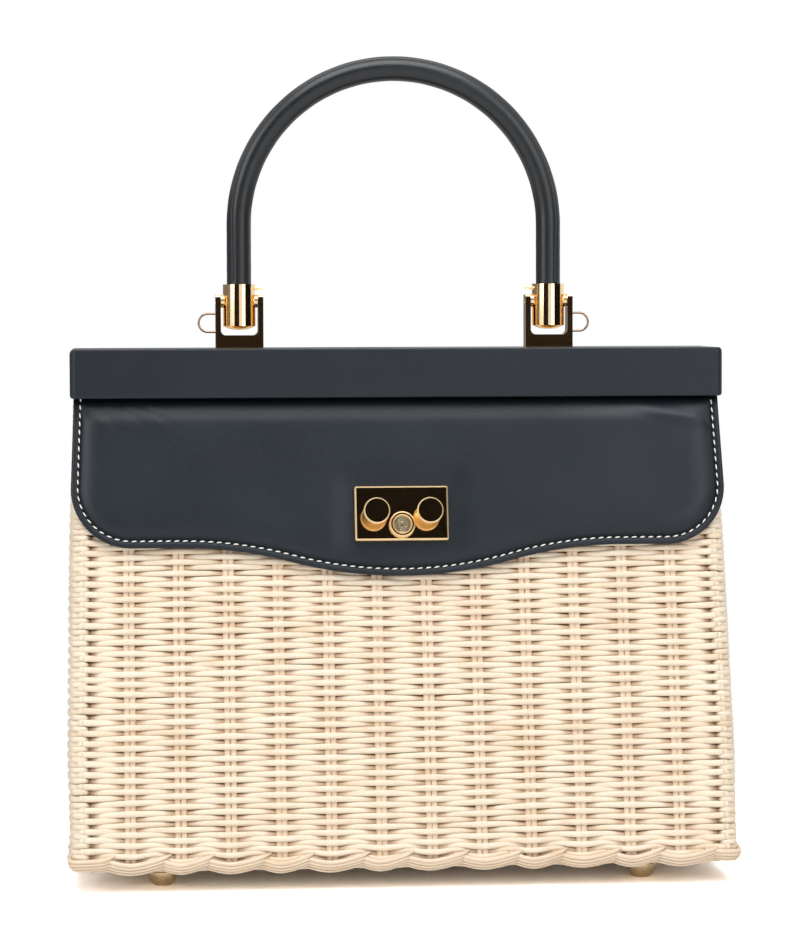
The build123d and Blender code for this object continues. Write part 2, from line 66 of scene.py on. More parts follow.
def ease(value, low, high):
    """Grows smoothly from 0 at low to 1 at high."""
    share = np.clip((value - low) / (high - low), 0, 1)
    return share * share * (3 - 2 * share)


def hump(value, width):
    """A soft hump of height 1 round 0."""
    return np.exp(-((value / width) ** 2))


def half_width(z):
    """Half the basket's width at a height; the walls swell a little between foot and rim."""
    swell = SIDE_SWELL * ease(z, 20 * MM, 70 * MM) * (1 - ease(z, 150 * MM, WALL_TOP))
    return BASE_HALF_X - LEAN_SIDE * (z - FOOT_HEIGHT) + swell


def half_depth(z):
    """Half the basket's depth at a height."""
    return BASE_HALF_Y - LEAN_FRONT * (z - FOOT_HEIGHT)


# Meshes


def add_object(name, data):
    """An object in the scene."""
    made = bpy.data.objects.new(name, data)
    scene.collection.objects.link(made)
    return made


def build_mesh(name, points, face_sets):
    """A mesh object from points and sets of faces; large caps stay flat."""
    mesh = bpy.data.meshes.new(name)
    faces = [face for faces in face_sets for face in np.asarray(faces).tolist()]
    mesh.from_pydata(np.reshape(points, (-1, 3)), [], faces)
    mesh.polygons.foreach_set("use_smooth", [len(face) <= 4 for face in faces])
    mesh.validate()
    return add_object(name, mesh)


def point_attribute(made, name, kind, values):
    """A value for every point of a mesh, which its material reads."""
    stored = made.data.attributes.new(name, kind, "POINT")
    field = "value" if kind == "FLOAT" else "vector"
    stored.data.foreach_set(field, np.asarray(values, np.float32).ravel())


def ring_solid(name, rings):
    """A closed solid through rings that have the same number of points."""
    points = np.array(rings)
    rows, sides = points.shape[:2]
    index = np.arange(rows * sides).reshape(rows, sides)
    turned = np.roll(index, -1, axis=1)
    quads = np.stack([index[:-1], index[1:], turned[1:], turned[:-1]], axis=-1).reshape(-1, 4)
    return build_mesh(name, points, [quads, index[:1], index[-1:, ::-1]])


CORNERS = ((1, -1), (1, 1), (-1, 1), (-1, -1))


def rounded_corner(corner, half_x, half_y, radius, steps):
    """One corner of a rounded rectangle in plan; the corners follow each other as in CORNERS."""
    angles = np.radians(90 * corner - 90 + 90 * np.arange(steps + 1) / steps)
    sign_x, sign_y = CORNERS[corner]
    x = sign_x * (half_x - radius) + radius * np.cos(angles)
    return join(x, sign_y * (half_y - radius) + radius * np.sin(angles))


def join(*values):
    """Points from their coordinates."""
    return np.stack(np.broadcast_arrays(*values), axis=-1)


def reach_along(points):
    """The way along a line from its first point to each of its points."""
    steps = np.linalg.norm(np.diff(points, axis=-2), axis=-1)
    return np.concatenate([np.zeros_like(steps[..., :1]), np.cumsum(steps, -1)], -1)


def unit(vectors):
    """The same directions with a length of one."""
    return vectors / np.linalg.norm(vectors, axis=-1, keepdims=True)


def section(sides, power):
    """Points round a slightly squared circle of radius one."""
    angles = (np.arange(sides) + 0.5) * 2 * pi / sides
    return [np.sign(way) * np.abs(way) ** (2 / power) for way in (np.cos(angles), np.sin(angles))]


ROW_SHIFT = 0.37
# weights of the painted shade: in the weave's recesses, and on each reed's side towards the wall
RECESS_PAINTED_SHADE = 0.65
INNER_SIDE_PAINTED_SHADE = 0.5


def tubes(name, centre, outward, half_out, half_up,
          sides=8, tone=0, power=2.4, deep=0, end_ways=None):
    """Closed reeds along rows of centre points; outward points away from the wall."""
    rows, count, _ = centre.shape
    grid = (rows, count, sides)
    along = unit(np.gradient(centre, axis=1))
    if end_ways is not None:
        along[:, 0], along[:, -1] = end_ways
    up = unit(np.cross(outward, along))
    out = np.cross(along, up)
    across_points, up_points = section(sides, power)
    half_out, half_up = (
        np.broadcast_to(half, (rows, count))[..., None, None] for half in (half_out, half_up)
    )
    ring = out[:, :, None] * across_points[:, None] * half_out
    ring = ring + up[:, :, None] * up_points[:, None] * half_up
    index = np.arange(rows * count * sides).reshape(grid)
    turned = np.roll(index, -1, axis=2)
    quads = np.stack([index[:, :-1], turned[:, :-1], turned[:, 1:], index[:, 1:]], axis=-1)
    caps = np.concatenate([index[:, 0, ::-1], index[:, -1]])
    made = build_mesh(name, centre[:, :, None] + ring, [quads.reshape(-1, 4), caps])
    length = reach_along(centre) + np.arange(rows)[:, None] * ROW_SHIFT
    fibre = join(length[..., None], across_points * MM, up_points * MM)
    point_attribute(made, "fibre", "FLOAT_VECTOR", fibre)
    point_attribute(made, "tone", "FLOAT", np.broadcast_to(np.reshape(tone, (-1, 1, 1)), grid))
    # painted shade: each reed's side towards the wall, and by deep the parts behind the stakes,
    # turn darker and browner in the material
    under = np.clip(0.35 - across_points, 0, 1)
    shade = RECESS_PAINTED_SHADE * np.asarray(deep)[..., None] + INNER_SIDE_PAINTED_SHADE * under
    point_attribute(made, "shade", "FLOAT", np.broadcast_to(shade, grid))
    return made


# Weave

STAKES_FRONT = 12
STAKES_SIDE = 4
STAKE_PITCH = 24.6 * MM
REED_HALF_WIDTH = 1.5 * MM
STAKE_DEPTH = 2.9 * MM
POST_RADIUS = 1.6 * MM
WEAVE_MIDDLE = 2.75 * MM
SIDE_MIDDLE = 1.7 * MM
CORNER_RADIUS = 3.8 * MM
CORNER_ARC = CORNER_RADIUS * pi / 2
POST_REACH = 1.4 * MM
POST_DEPTH = 3.1 * MM
ROWS = 88
WEAVE_SWING = 1.2 * MM
CORNER_SWING = 0.12 * MM
POST_SWING_OUT = 2.2 * MM
POST_SWING_IN = 2.6 * MM
ROW_HALF = 1.38 * MM
ROW_SWELL = 0.16 * MM
ROW_PINCH = 0.20 * MM
ROW_SINK = 0.26 * MM
ROW_HALF_DEPTH = 1.18 * MM
ROW_PITCH = 2.54 * MM
ROW_HEIGHTS = np.linspace(15.6 * MM, WALL_TOP - 1.2 * MM, ROWS)
ROW_SCALE = (ROW_HEIGHTS[1] - ROW_HEIGHTS[0]) / ROW_PITCH
ROW_LIMIT = WALL_TOP - 1.0 * MM
ROW_SIDES = 10
ROW_POWER = 2.6
SAMPLES = 9
BEND_STEPS = (0, 0.35 * MM, 1.1 * MM, 2.1 * MM, 3.3 * MM, 4.6 * MM)
CALM_ROWS = 5
CORNER_WANDER = 0.7
BORDER_DIP = 1.5 * MM
DIP_FADE = 0.72
SEED = 7

# The weave's walls: along and outward directions in plan, stakes, and the first stake's number

WALLS = {
    "front": ((1, 0), (0, -1), STAKES_FRONT, 0),
    "right": ((0, 1), (1, 0), STAKES_SIDE, STAKES_FRONT + 1),
    "rear": ((-1, 0), (0, 1), STAKES_FRONT, STAKES_FRONT + STAKES_SIDE + 2),
    "left": ((0, -1), (-1, 0), STAKES_SIDE, 2 * STAKES_FRONT + STAKES_SIDE + 3),
}
LONG_WALLS = ("front", "rear")
RING_SAMPLES = (2 * (STAKES_FRONT + STAKES_SIDE) + 4) * SAMPLES + 1


def wall_sizes(wall, z):
    """Half the wall's length and its distance from the middle, on the weave's middle line."""
    sizes = half_width(z) - SIDE_MIDDLE, half_depth(z) - WEAVE_MIDDLE
    return sizes if wall in LONG_WALLS else sizes[::-1]


def stake_places(wall, z):
    """Where the wall's stakes stand along it at a height."""
    stakes = WALLS[wall][2]
    pitch = STAKE_PITCH if wall in LONG_WALLS else 2 * half_depth(z) / (STAKES_SIDE + 1)
    return [(stake - (stakes - 1) / 2) * pitch for stake in range(stakes)]


def wall_point(wall, along, out):
    """A point in plan from its place along a wall and its distance outward."""
    a, o = WALLS[wall][:2]
    return join(a[0] * along + o[0] * out, a[1] * along + o[1] * out)


def bend_point(wall, places, z):
    """Points and normals in plan along a wall's middle line, round its corners and on inward."""
    half_length, distance = wall_sizes(wall, z)
    straight = half_length - CORNER_RADIUS
    side = np.sign(places)
    past = np.abs(places) - straight
    turn = np.clip(past / CORNER_RADIUS, 0, pi / 2)
    along = side * (np.minimum(np.abs(places), straight) + CORNER_RADIUS * np.sin(turn))
    beyond = np.clip(past - CORNER_ARC, 0, None)
    out = distance - CORNER_RADIUS + CORNER_RADIUS * np.cos(turn) - beyond
    return wall_point(wall, along, out), wall_point(wall, side * np.sin(turn), np.cos(turn))


def wall_row(wall, z):
    """One row between two corner posts: points and normals in plan, and for each point its share
    of the interval between stakes, that interval's number and the way to the nearer post."""
    straight = wall_sizes(wall, z)[0] - CORNER_RADIUS
    stakes = stake_places(wall, z)
    even = np.arange(SAMPLES) / SAMPLES
    if wall in LONG_WALLS:
        end = straight - POST_REACH
        first = last = even
    else:
        bend = CORNER_ARC + POST_REACH
        end = straight + bend
        length = end - stakes[-1]
        flat_steps = [bend + (length - bend) * part for part in (0.35, 0.7)]
        first = np.array([*BEND_STEPS, bend, *flat_steps]) / length
        last = np.concatenate([[0], 1 - first[:0:-1]])
    stations = np.array([-end, *stakes, end])
    share = np.concatenate([first, np.tile(even, len(stakes) - 1), last, [1.0]])
    interval = np.append(np.repeat(np.arange(len(stakes) + 1), SAMPLES), len(stakes))
    places = stations[interval] + (stations[interval + 1] - stations[interval]) * share
    return *bend_point(wall, places, z), share, interval, end - np.abs(places)


def weave_swing(wall, row, share, interval, to_post):
    """How far a row stands out in front of the stakes (above 0) or lies behind them, the same as
    a share, and how near the post is."""
    flat = np.clip((share - 0.08) / 0.84, 0, 1)
    sign = np.where((interval + WALLS[wall][3] + row) % 2 == 0, 1, -1)
    wave = np.cos(pi * flat)
    wave = sign * np.sign(wave) * np.abs(wave) ** 1.7
    reach = 9 * MM if wall in LONG_WALLS else 1.9 * MM
    near_post = 1 - ease(to_post, 0.3 * MM, reach)
    post_swing = np.where(wave > 0, POST_SWING_OUT, POST_SWING_IN)
    corner = 0 if wall in LONG_WALLS else (1 - ease(to_post, 7 * MM, 13 * MM)) * (1 - near_post)
    swing = wave * (WEAVE_SWING * (1 - corner) + CORNER_SWING * corner)
    return swing + (wave * post_swing - swing) * near_post, wave * (1 - corner), near_post


def ring_noise(rng, rows, columns, size):
    """A smooth random rise for every place of the weave, without a step at the ring's ends."""
    coarse = rng.standard_normal((rows, columns))
    coarse = np.column_stack([coarse, coarse[:, :2]])
    row_at = np.linspace(0, rows - 1.001, ROWS)
    column_at = np.linspace(0, columns, RING_SAMPLES)
    row_low, column_low = row_at.astype(int), column_at.astype(int)
    row_share = ((1 - np.cos(pi * (row_at - row_low))) / 2)[:, None]
    share = (1 - np.cos(pi * (column_at - column_low))) / 2

    def along(lines):
        return lines[:, column_low] * (1 - share) + lines[:, column_low + 1] * share

    rise = along(coarse[row_low]) * (1 - row_share) + along(coarse[row_low + 1]) * row_share
    return rise * size


def near_corner(to_post):
    """Grows from 0 to 1 towards a corner of the basket."""
    return 1 - ease(to_post, 4 * MM, 20 * MM)


def row_rise(wander, wall, row, share, interval, to_post):
    """How far a row's places lie above its level: they wander, and the lowest rows follow the
    border's scallops, down at the stakes and up between them."""
    stakes, first = WALLS[wall][2:]
    start = first * SAMPLES
    rise = wander[row, start:start + len(share)] * ease(row, 0, CALM_ROWS)
    dip = (np.cos(2 * pi * share) * 0.5 - 0.2) * BORDER_DIP
    dip = np.where((interval == 0) | (interval == stakes), dip * 0.3, dip)
    rise = rise * (1 + CORNER_WANDER * near_corner(to_post)) - dip * DIP_FADE ** row
    return np.minimum(rise, ROW_LIMIT - ROW_HEIGHTS[row])


def lay(plan, normal, z, rise, swing):
    """A reed's centre points on the leaning wall, swung off it, and its outward directions."""
    lean = LEAN_FRONT * np.abs(normal[:, 1]) + LEAN_SIDE * np.abs(normal[:, 0])
    outward = unit(join(*normal.T, lean))
    centre = join(*(plan.T - normal.T * lean * rise), z + rise)
    return centre + outward * swing[:, None], outward


def make_weave_wall(wall, wander, tone):
    """All rows of a wall, each in front of and behind the stakes in turn."""
    made = []
    for row, z in enumerate(ROW_HEIGHTS):
        plan, normal, *spots = wall_row(wall, z)
        to_post = spots[2]
        swing, wave, near_post = weave_swing(wall, row, *spots)
        rise = row_rise(wander, wall, row, *spots)
        front = np.clip(wave, 0, 1)
        behind = np.clip(-wave, 0, 1)
        if wall not in LONG_WALLS:
            behind = behind * (1 - ease(to_post, 0, 2 * MM) * (to_post < 9 * MM))
        rise = rise - ROW_SINK * behind ** 3 * (1 + 0.6 * near_post)
        pinch = ROW_PINCH * behind ** 4 * (1 + 1.2 * near_post)
        thick = ROW_HALF + ROW_SWELL * np.maximum(front ** 2, 1.4 * near_corner(to_post))
        half_up = (thick - pinch) * (1 + 0.05 * tone[row]) * ROW_SCALE
        made.append((*lay(plan, normal, z, rise, swing), half_up, behind))
    # behind also sets the painted shade where the row lies behind the stakes
    centre, outward, half_up, deep = (np.array(values) for values in zip(*made))
    a, o = (np.array([*direction, 0.0]) for direction in WALLS[wall][:2])
    end_ways = (a, a) if wall in LONG_WALLS else (o, -o)
    return tubes(f"weave_{wall}", centre, outward, ROW_HALF_DEPTH, half_up,
                 ROW_SIDES, tone, ROW_POWER, deep, end_ways)


def make_stakes(wall, rng):
    """The upright reeds of a wall, in pairs."""
    z = np.linspace(FOOT_HEIGHT + 3.4 * MM, WALL_TOP - 0.5 * MM, 30)
    distance = wall_sizes(wall, z)[1] + WEAVE_MIDDLE
    lean = LEAN_FRONT if wall in LONG_WALLS else LEAN_SIDE
    places = np.array([stake_places(wall, height) for height in z])
    half = np.minimum(REED_HALF_WIDTH, (places[:, 1] - places[:, 0]) * 0.2)
    centres = []
    for stake in range(places.shape[1]):
        for side in (-1, 1):
            sway = rng.normal(0, 0.06 * MM) + np.sin(z * 90 + rng.uniform(0, 6)) * 0.08 * MM
            along = places[:, stake] + side * half * 0.97 + sway
            centres.append(join(*wall_point(wall, along, distance - STAKE_DEPTH).T, z))
    tone = rng.normal(-0.5, 0.3, len(centres))
    outward = unit(np.array([*WALLS[wall][1], lean]))
    # 0.55 makes the whole stake evenly darker and browner, on top of the painted shade on its side
    # towards the wall
    return tubes(f"stakes_{wall}", np.array(centres), outward, 1.2 * MM, half, 10, tone, 3, 0.55)


def make_posts(rng):
    """The round post beside each corner of the basket."""
    z = np.linspace(FOOT_HEIGHT + 4.5 * MM, WALL_TOP - 0.5 * MM, 24)
    inset = CORNER_RADIUS + POST_REACH
    centres = []
    outs = []
    for side_x, side_y in ((-1, -1), (-1, 1), (1, -1), (1, 1)):
        x = side_x * (half_width(z) - SIDE_MIDDLE - inset)
        centres.append(join(x, side_y * (half_depth(z) - POST_DEPTH), z))
        outs.append(unit(np.array([[0, side_y, LEAN_FRONT]])))
    tone = rng.normal(-1.6, 0.2, 4)
    return tubes("corner_posts", np.array(centres), np.array(outs),
                 POST_RADIUS, POST_RADIUS, 12, tone)


# The reed over a corner post: places from the bend's end, swing, half thickness and painted shade

WRAP_PLACES = np.array([-4.4, -3.4, -2.4, -1.4, -0.4, 0.6, 1.4, 2.2, 2.8, 3.3, 3.8]) * MM
WRAP_SWING = np.array([-0.4, 0.1, 0.55, 1.0, 1.45, 1.85, 2.0, 1.85, 1.1, -0.1, -1.5]) * MM
WRAP_HALF = np.array([1.25, 1.32, 1.36, 1.38, 1.4, 1.4, 1.4, 1.36, 1.28, 1.18, 1.1]) * MM
WRAP_DEEP = np.array([0, 0, 0, 0, 0, 0, 0, 0.1, 0.35, 0.7, 1.0])


def make_corner_reeds(wander, tone):
    """The reed laid over a corner post, wherever a side row goes behind that post."""
    made = []
    for wall in ("left", "right"):
        for row, z in enumerate(ROW_HEIGHTS):
            spots = wall_row(wall, z)[2:]
            swing = weave_swing(wall, row, *spots)[0]
            rise = row_rise(wander, wall, row, *spots)
            bend_end = wall_sizes(wall, z)[0] - CORNER_RADIUS + CORNER_ARC
            for side in (-1, 1):
                end = slice(None, SAMPLES) if side < 0 else slice(None, -SAMPLES - 1, -1)
                if swing[end][0] > 0:
                    continue
                wrap_rise = np.interp(POST_REACH - WRAP_PLACES, spots[2][end], rise[end])
                plan, normal = bend_point(wall, side * (bend_end + WRAP_PLACES), z)
                made.append((*lay(plan, normal, z, wrap_rise, WRAP_SWING), tone[row]))
    centre, outward, tones = (np.array(values) for values in zip(*made))
    return tubes("corner_reeds", centre, outward, ROW_HALF_DEPTH, WRAP_HALF * ROW_SCALE,
                 ROW_SIDES, tones, ROW_POWER, WRAP_DEEP)


# Foot border and floor of the weave

SCALLOP = 2.8 * MM
BORDER_STRANDS = [
    # level, depth outward, half thickness and roll of a strand, the lowest first
    (10.0 * MM, -1.3 * MM, 0.68 * MM, 0.5),
    (11.25 * MM, -0.2 * MM, 0.70 * MM, 0.2),
    (12.6 * MM, 0.30 * MM, 0.74 * MM, 0.0),
    (14.3 * MM, 0.15 * MM, 1.12 * MM, 0.2),
]


def ring_path(z):
    """The weave's middle line round the basket: places along it, points and normals in plan."""
    turn = np.linspace(0, pi / 2, 14)[1:-1]
    parts = []
    for wall in WALLS:
        straight = wall_sizes(wall, z)[0] - CORNER_RADIUS
        flat = np.linspace(-straight, straight, 60)
        parts.append(bend_point(wall, np.append(flat, straight + CORNER_RADIUS * turn), z))
    points, normals = (np.concatenate([*values, values[0][:1]]) for values in zip(*parts))
    return reach_along(points), points, normals


def border_cusps(places, points):
    """Places along the ring half way between neighbouring stake pairs."""
    cusps = []
    for wall in WALLS:
        distance = wall_sizes(wall, FOOT_HEIGHT)[1]
        stakes = stake_places(wall, FOOT_HEIGHT)
        half = (stakes[1] - stakes[0]) / 2
        for edge in [stakes[0] - half] + [stake + half for stake in stakes]:
            gap = np.linalg.norm(points - wall_point(wall, edge, distance), axis=1)
            cusps.append(places[np.argmin(gap)])
    return cusps


def make_border(rng):
    """The scalloped foot border: a bundle of reeds under each stake pair, tucked under the next."""
    places, points, normals = ring_path(FOOT_HEIGHT)
    length = places[-1]
    cusps = border_cusps(places, points)
    centres = []
    outs = []
    halves = []
    for low, high in zip(cusps, cusps[1:] + cusps[:1]):
        high += length if high < low else 0
        between = normals[(places > low) & (places < high)]
        turns_corner = high > length or np.ptp(between, axis=0).max() > 0.5
        at = np.linspace(low - 1.5 * MM, high + 6 * MM, 22)
        share = (at - low) / (high - low)
        arch = np.where(share < 1, np.abs(2 * np.clip(share, 0, 1) - 1) ** 1.6, 1.0)
        if turns_corner:
            arch = 0.78 + 0.22 * arch
        past = np.clip(at - high, 0, None)
        start = 1 - ease(share, -0.02, 0.30)
        plan, normal = (
            join(*(np.interp(at % length, places, values) for values in line.T))
            for line in (points, normals)
        )
        normal = unit(normal)
        for level, depth, half, roll in BORDER_STRANDS:
            z = level + arch * SCALLOP + past * 0.30 + rng.normal(0, 0.06 * MM)
            out = depth + 0.5 * MM * ease(share, 0.6, 1.0) + WEAVE_MIDDLE - 1.35 * MM
            out = out - start * 1.6 * MM - past * 0.15 - np.clip(past - 2.5 * MM, 0, None) * 0.9
            centres.append(join(*(plan.T + normal.T * out), z))
            outs.append(unit(join(*normal.T, 0.15 - roll)))
            halves.append(half * (1 - 0.45 * ease(past, 1 * MM, 6 * MM)))
    tone = rng.normal(-0.1, 0.3, len(centres))
    halves = np.array(halves)
    # deep=0.5 makes the whole border evenly darker and browner, on top of the painted shade on its
    # side towards the wall
    return tubes("border", np.array(centres), np.array(outs), halves * 1.12, halves,
                 tone=tone, deep=0.5)


def make_woven_floor(rng):
    """The basket's floor: reeds along its length over the stakes' lower ends."""
    down = np.array([0.0, 0.0, -1.0])
    reach_x = BASE_HALF_X - 10 * MM
    reach_y = BASE_HALF_Y - 6.5 * MM
    count = int(2 * reach_y / (2.9 * MM))
    x = np.linspace(-reach_x, reach_x, 6 * (STAKES_FRONT + 1) + 1)
    y = np.linspace(-reach_y, reach_y, count)[:, None]
    wave = np.cos(pi * (x / STAKE_PITCH + 0.5 + np.arange(count)[:, None]))
    reeds = join(x, y, FOOT_HEIGHT + 3.6 * MM - wave * 0.5 * MM)
    tone = rng.normal(-0.1, 0.3, count)
    floor = tubes("weave_floor", reeds, down, 1.0 * MM, 1.5 * MM, 6, tone)
    pair = (-REED_HALF_WIDTH, REED_HALF_WIDTH)
    across = np.add.outer(stake_places("front", FOOT_HEIGHT), pair).reshape(-1, 1)
    along = np.linspace(-BASE_HALF_Y + 4 * MM, BASE_HALF_Y - 4 * MM, 12)
    ribs = join(across, along, FOOT_HEIGHT + 4.1 * MM)
    tone = rng.normal(-0.4, 0.3, len(ribs))
    return floor, tubes("stakes_floor", ribs, down, 1.0 * MM, REED_HALF_WIDTH, 6, tone)


# Flap, drawn on the slope of the front wall about the clasp's centre

CLASP_HEIGHT = 181 * MM
FLAP_BACK = 2.02 * MM
FLAP_EDGE = 3.2 * MM
FLAP_FRONT = 5.68 * MM
FLAP_PUFF = 0.9 * MM
FLAP_TUCKED = 2.9 * MM
FLAP_ROUND = 0.9 * MM
FLAP_HALF_TOP = 161.8 * MM
FLAP_HALF_LOW = 163.5 * MM
FLAP_RADIUS = 30 * MM
FLAP_LOWEST = 151.3 * MM
FLAP_RISE = 14.5 * MM
FLAP_WAVE_HALF = 110 * MM
SLOPE_LENGTH = 1 / cos(SLOPE)
FLAP_TOP = (bar_low.z + 1 * MM - CLASP_HEIGHT) * SLOPE_LENGTH
OUTLINE_STEP = 1.3 * MM
NET_STEP = 2.4 * MM
STITCH_INSET = 3.4 * MM
STITCH_PITCH = 4.2 * MM
STITCH_LENGTH = 2.7 * MM
STITCH_HALF = 0.36 * MM
CASE_HALF = (20.9 * MM, 12.4 * MM)
PLATE_HALF = (23.25 * MM, 13.6 * MM)
PRESS_REACH = 14 * MM
EDGE_LINES = (0, 0.3, 0.7, 1.2, 1.9, 2.5, 3.0, 3.4, 3.8, 4.3, 4.9, 5.7, 6.8, 8.2, 10, 12.2)


def flap_point(x, y, out):
    """From the flap's own plane to the frame: x right, y up the slope, out from the weave."""
    z = CLASP_HEIGHT + y * cos(SLOPE) + out * sin(SLOPE)
    depth = -half_depth(CLASP_HEIGHT) + y * sin(SLOPE) - out * cos(SLOPE)
    return join(x, depth, z)


def under_bar(y, low, high):
    """Grows from 0 to 1 between two distances below the flap's top, given in millimetres."""
    return ease(y, FLAP_TOP - low * MM, FLAP_TOP - high * MM)


def arc_points(centre, radius, start, stop):
    """Points of an arc, about OUTLINE_STEP apart."""
    count = max(3, int(abs(stop - start) * radius / OUTLINE_STEP))
    angles = np.linspace(start, stop, count)
    return join(centre[0] + radius * np.cos(angles), centre[1] + radius * np.sin(angles))


def flap_outline():
    """The flap's left, lower and right edge, from its top left corner to its top right one."""
    shoulder = (FLAP_LOWEST + FLAP_RISE - CLASP_HEIGHT) * SLOPE_LENGTH
    lowest = (FLAP_LOWEST - CLASP_HEIGHT) * SLOPE_LENGTH
    rise = shoulder - lowest
    wave_radius = (FLAP_WAVE_HALF ** 2 + rise ** 2) / (4 * rise)
    sweep = 2 * atan2(rise, FLAP_WAVE_HALF)
    corner = (FLAP_HALF_LOW - FLAP_RADIUS, shoulder + FLAP_RADIUS)
    side_count = int((FLAP_TOP - shoulder - FLAP_RADIUS) / OUTLINE_STEP)
    outer = (FLAP_WAVE_HALF, shoulder - wave_radius)
    right = np.concatenate([
        np.linspace((FLAP_HALF_TOP, FLAP_TOP), (FLAP_HALF_LOW, corner[1]), side_count)[:-1],
        arc_points(corner, FLAP_RADIUS, 0, -pi / 2)[:-1],
        np.linspace((corner[0], shoulder), (FLAP_WAVE_HALF, shoulder), 16)[:-1],
        arc_points(outer, wave_radius, pi / 2, pi / 2 + sweep)[:-1],
        arc_points((0, lowest + wave_radius), wave_radius, -pi / 2 + sweep, -pi / 2),
    ])
    left = right[::-1] * (-1, 1)
    return np.concatenate([right, left[1:]])[::-1]


def inset_line(line, inset):
    """The same line moved in from the edge, with its ends kept at the top."""
    along = unit(np.gradient(line, axis=0))
    moved = line + join(-along[:, 1], along[:, 0]) * inset
    moved[:, 1] = np.minimum(moved[:, 1], line[0, 1])
    moved[[0, -1], 1] = line[[0, -1], 1]
    return moved


def edge_distance(points, line, block=4000):
    """How far each point is from the flap's edge, worked out for a block of points at a time."""
    starts = line[:-1]
    steps = line[1:] - starts
    lengths = (steps ** 2).sum(1)
    best = np.zeros(len(points))
    for first in range(0, len(points), block):
        part = points[first:first + block, None]
        share = np.clip(((part - starts) * steps).sum(2) / lengths, 0, 1)
        gap = part - starts - share[..., None] * steps
        best[first:first + block] = np.sqrt((gap ** 2).sum(2).min(1))
    return best


def flap_height(points, inset):
    """How far the flap's face stands out from the weave."""
    x, y = points[:, 0], points[:, 1]
    # padding, stitch groove, rounded edge, and the part that is tucked into the bar
    swell = np.clip((inset - STITCH_INSET - 0.3 * MM) / (17 * MM), 0, 1)
    height = FLAP_EDGE + (FLAP_FRONT - FLAP_EDGE + FLAP_PUFF) * (1 - (1 - swell) ** 3.4)
    height -= 0.45 * MM * hump(inset - STITCH_INSET, 0.9 * MM)
    height -= 0.7 * MM * (1 - ease(inset, 0, FLAP_ROUND))
    height -= (height - FLAP_TUCKED) * under_bar(y, 15, 0.5)
    # unevenness of the padding
    ripple = 0.16 * MM * np.sin(x * 95 + 1.3) * np.sin(y * 70 + x * 30)
    height += ripple * ease(inset, 6 * MM, 25 * MM) * (1 - under_bar(y, 14, 4))
    # long crease at the upper right
    crease_y = FLAP_TOP - 7 * MM - (x - 118 * MM) * 0.24
    place = ease(x, 108 * MM, 134 * MM) * ease(inset, STITCH_INSET + 1 * MM, 9 * MM)
    height += 0.9 * MM * hump(y - crease_y, 2.8 * MM) * place
    # three small creases at the upper left
    for number in range(3):
        crease_x = -FLAP_HALF_TOP + (11 + 7 * number) * MM
        line = x - crease_x - (FLAP_TOP - y) * (0.5 + 0.5 * number)
        near = hump(line, 1.6 * MM) * hump(FLAP_TOP - 9 * MM - y, 6 * MM)
        height -= 0.35 * MM * near * ease(inset, STITCH_INSET, 8 * MM)
    # pressed down round the clasp plate
    over_x, over_y = np.abs(x) - PLATE_HALF[0], np.abs(y) - PLATE_HALF[1]
    press = ease(PRESS_REACH - over_x, 0, PRESS_REACH) * ease(PRESS_REACH - over_y, 0, PRESS_REACH)
    height -= (0.3 * MM + FLAP_PUFF) * press
    under = (over_x < 1 * MM) & (over_y < 1 * MM)
    return np.where(under, np.minimum(height, FLAP_FRONT - 0.25 * MM), height)


def inside_outline(points, line):
    """Whether each point lies inside the closed outline."""
    inside = np.zeros(len(points), bool)
    for (x0, y0), (x1, y1) in zip(line, np.roll(line, -1, axis=0)):
        crosses = (y0 > points[:, 1]) != (y1 > points[:, 1])
        at = x0 + (points[:, 1] - y0) * (x1 - x0) / (y1 - y0 if y1 != y0 else 1)
        inside ^= crosses & (points[:, 0] < at)
    return inside


def in_window(points, margin):
    """Whether each point lies in the flap's window for the lock case, widened by a margin."""
    return (np.abs(points) < np.array(CASE_HALF) + margin).all(1)


def flap_faces(line):
    """A fine triangle net over the flap, with lines along its edge and a window for the lock."""
    top = line[0, 1]
    xs = np.arange(-FLAP_HALF_LOW, FLAP_HALF_LOW, NET_STEP)
    ys = np.arange(line[:, 1].min(), top, NET_STEP)
    grid = np.stack(np.meshgrid(xs, ys), axis=-1).reshape(-1, 2)
    grid = grid[inside_outline(grid, line)]
    grid = grid[edge_distance(grid, line) > 13.2 * MM]
    grid = grid[~in_window(grid, 1 * MM)]
    top_x = np.arange(-FLAP_HALF_TOP + 13 * MM, FLAP_HALF_TOP - 12 * MM, NET_STEP)
    points = []
    edges = []
    for inset in EDGE_LINES:
        start = len(points)
        points.extend(inset_line(line, inset * MM).tolist())
        edges.extend((step, step + 1) for step in range(start, len(points) - 1))
    start = len(points)
    window = [(-1, -1), (1, -1), (1, 1), (-1, 1)]
    points.extend((CASE_HALF[0] * x, CASE_HALF[1] * y) for x, y in window)
    edges.extend((start + step, start + (step + 1) % 4) for step in range(4))
    points.extend((x, top) for x in top_x)
    points.extend(grid.tolist())
    made = delaunay_2d_cdt([Vector(point) for point in points], edges, [], 0, 1e-7)
    flat = np.array([tuple(point) for point in made[0]])
    triangles = np.array(made[2])
    middle = flat[triangles].mean(1)
    return flat, triangles[inside_outline(middle, line) & ~in_window(middle, 0)]


def close_sheet(name, front, back, triangles):
    """A closed solid between two sheets with the same triangles."""
    count = len(front)
    pairs = np.concatenate([triangles[:, [0, 1]], triangles[:, [1, 2]], triangles[:, [2, 0]]])
    keys = {tuple(pair) for pair in pairs.tolist()}
    rim = np.array([pair for pair in keys if (pair[1], pair[0]) not in keys])
    walls = np.column_stack([rim[:, 1], rim[:, 0], rim[:, 0] + count, rim[:, 1] + count])
    faces = np.concatenate([triangles, triangles[:, ::-1] + count])
    return build_mesh(name, np.concatenate([front, back]), [faces, walls])


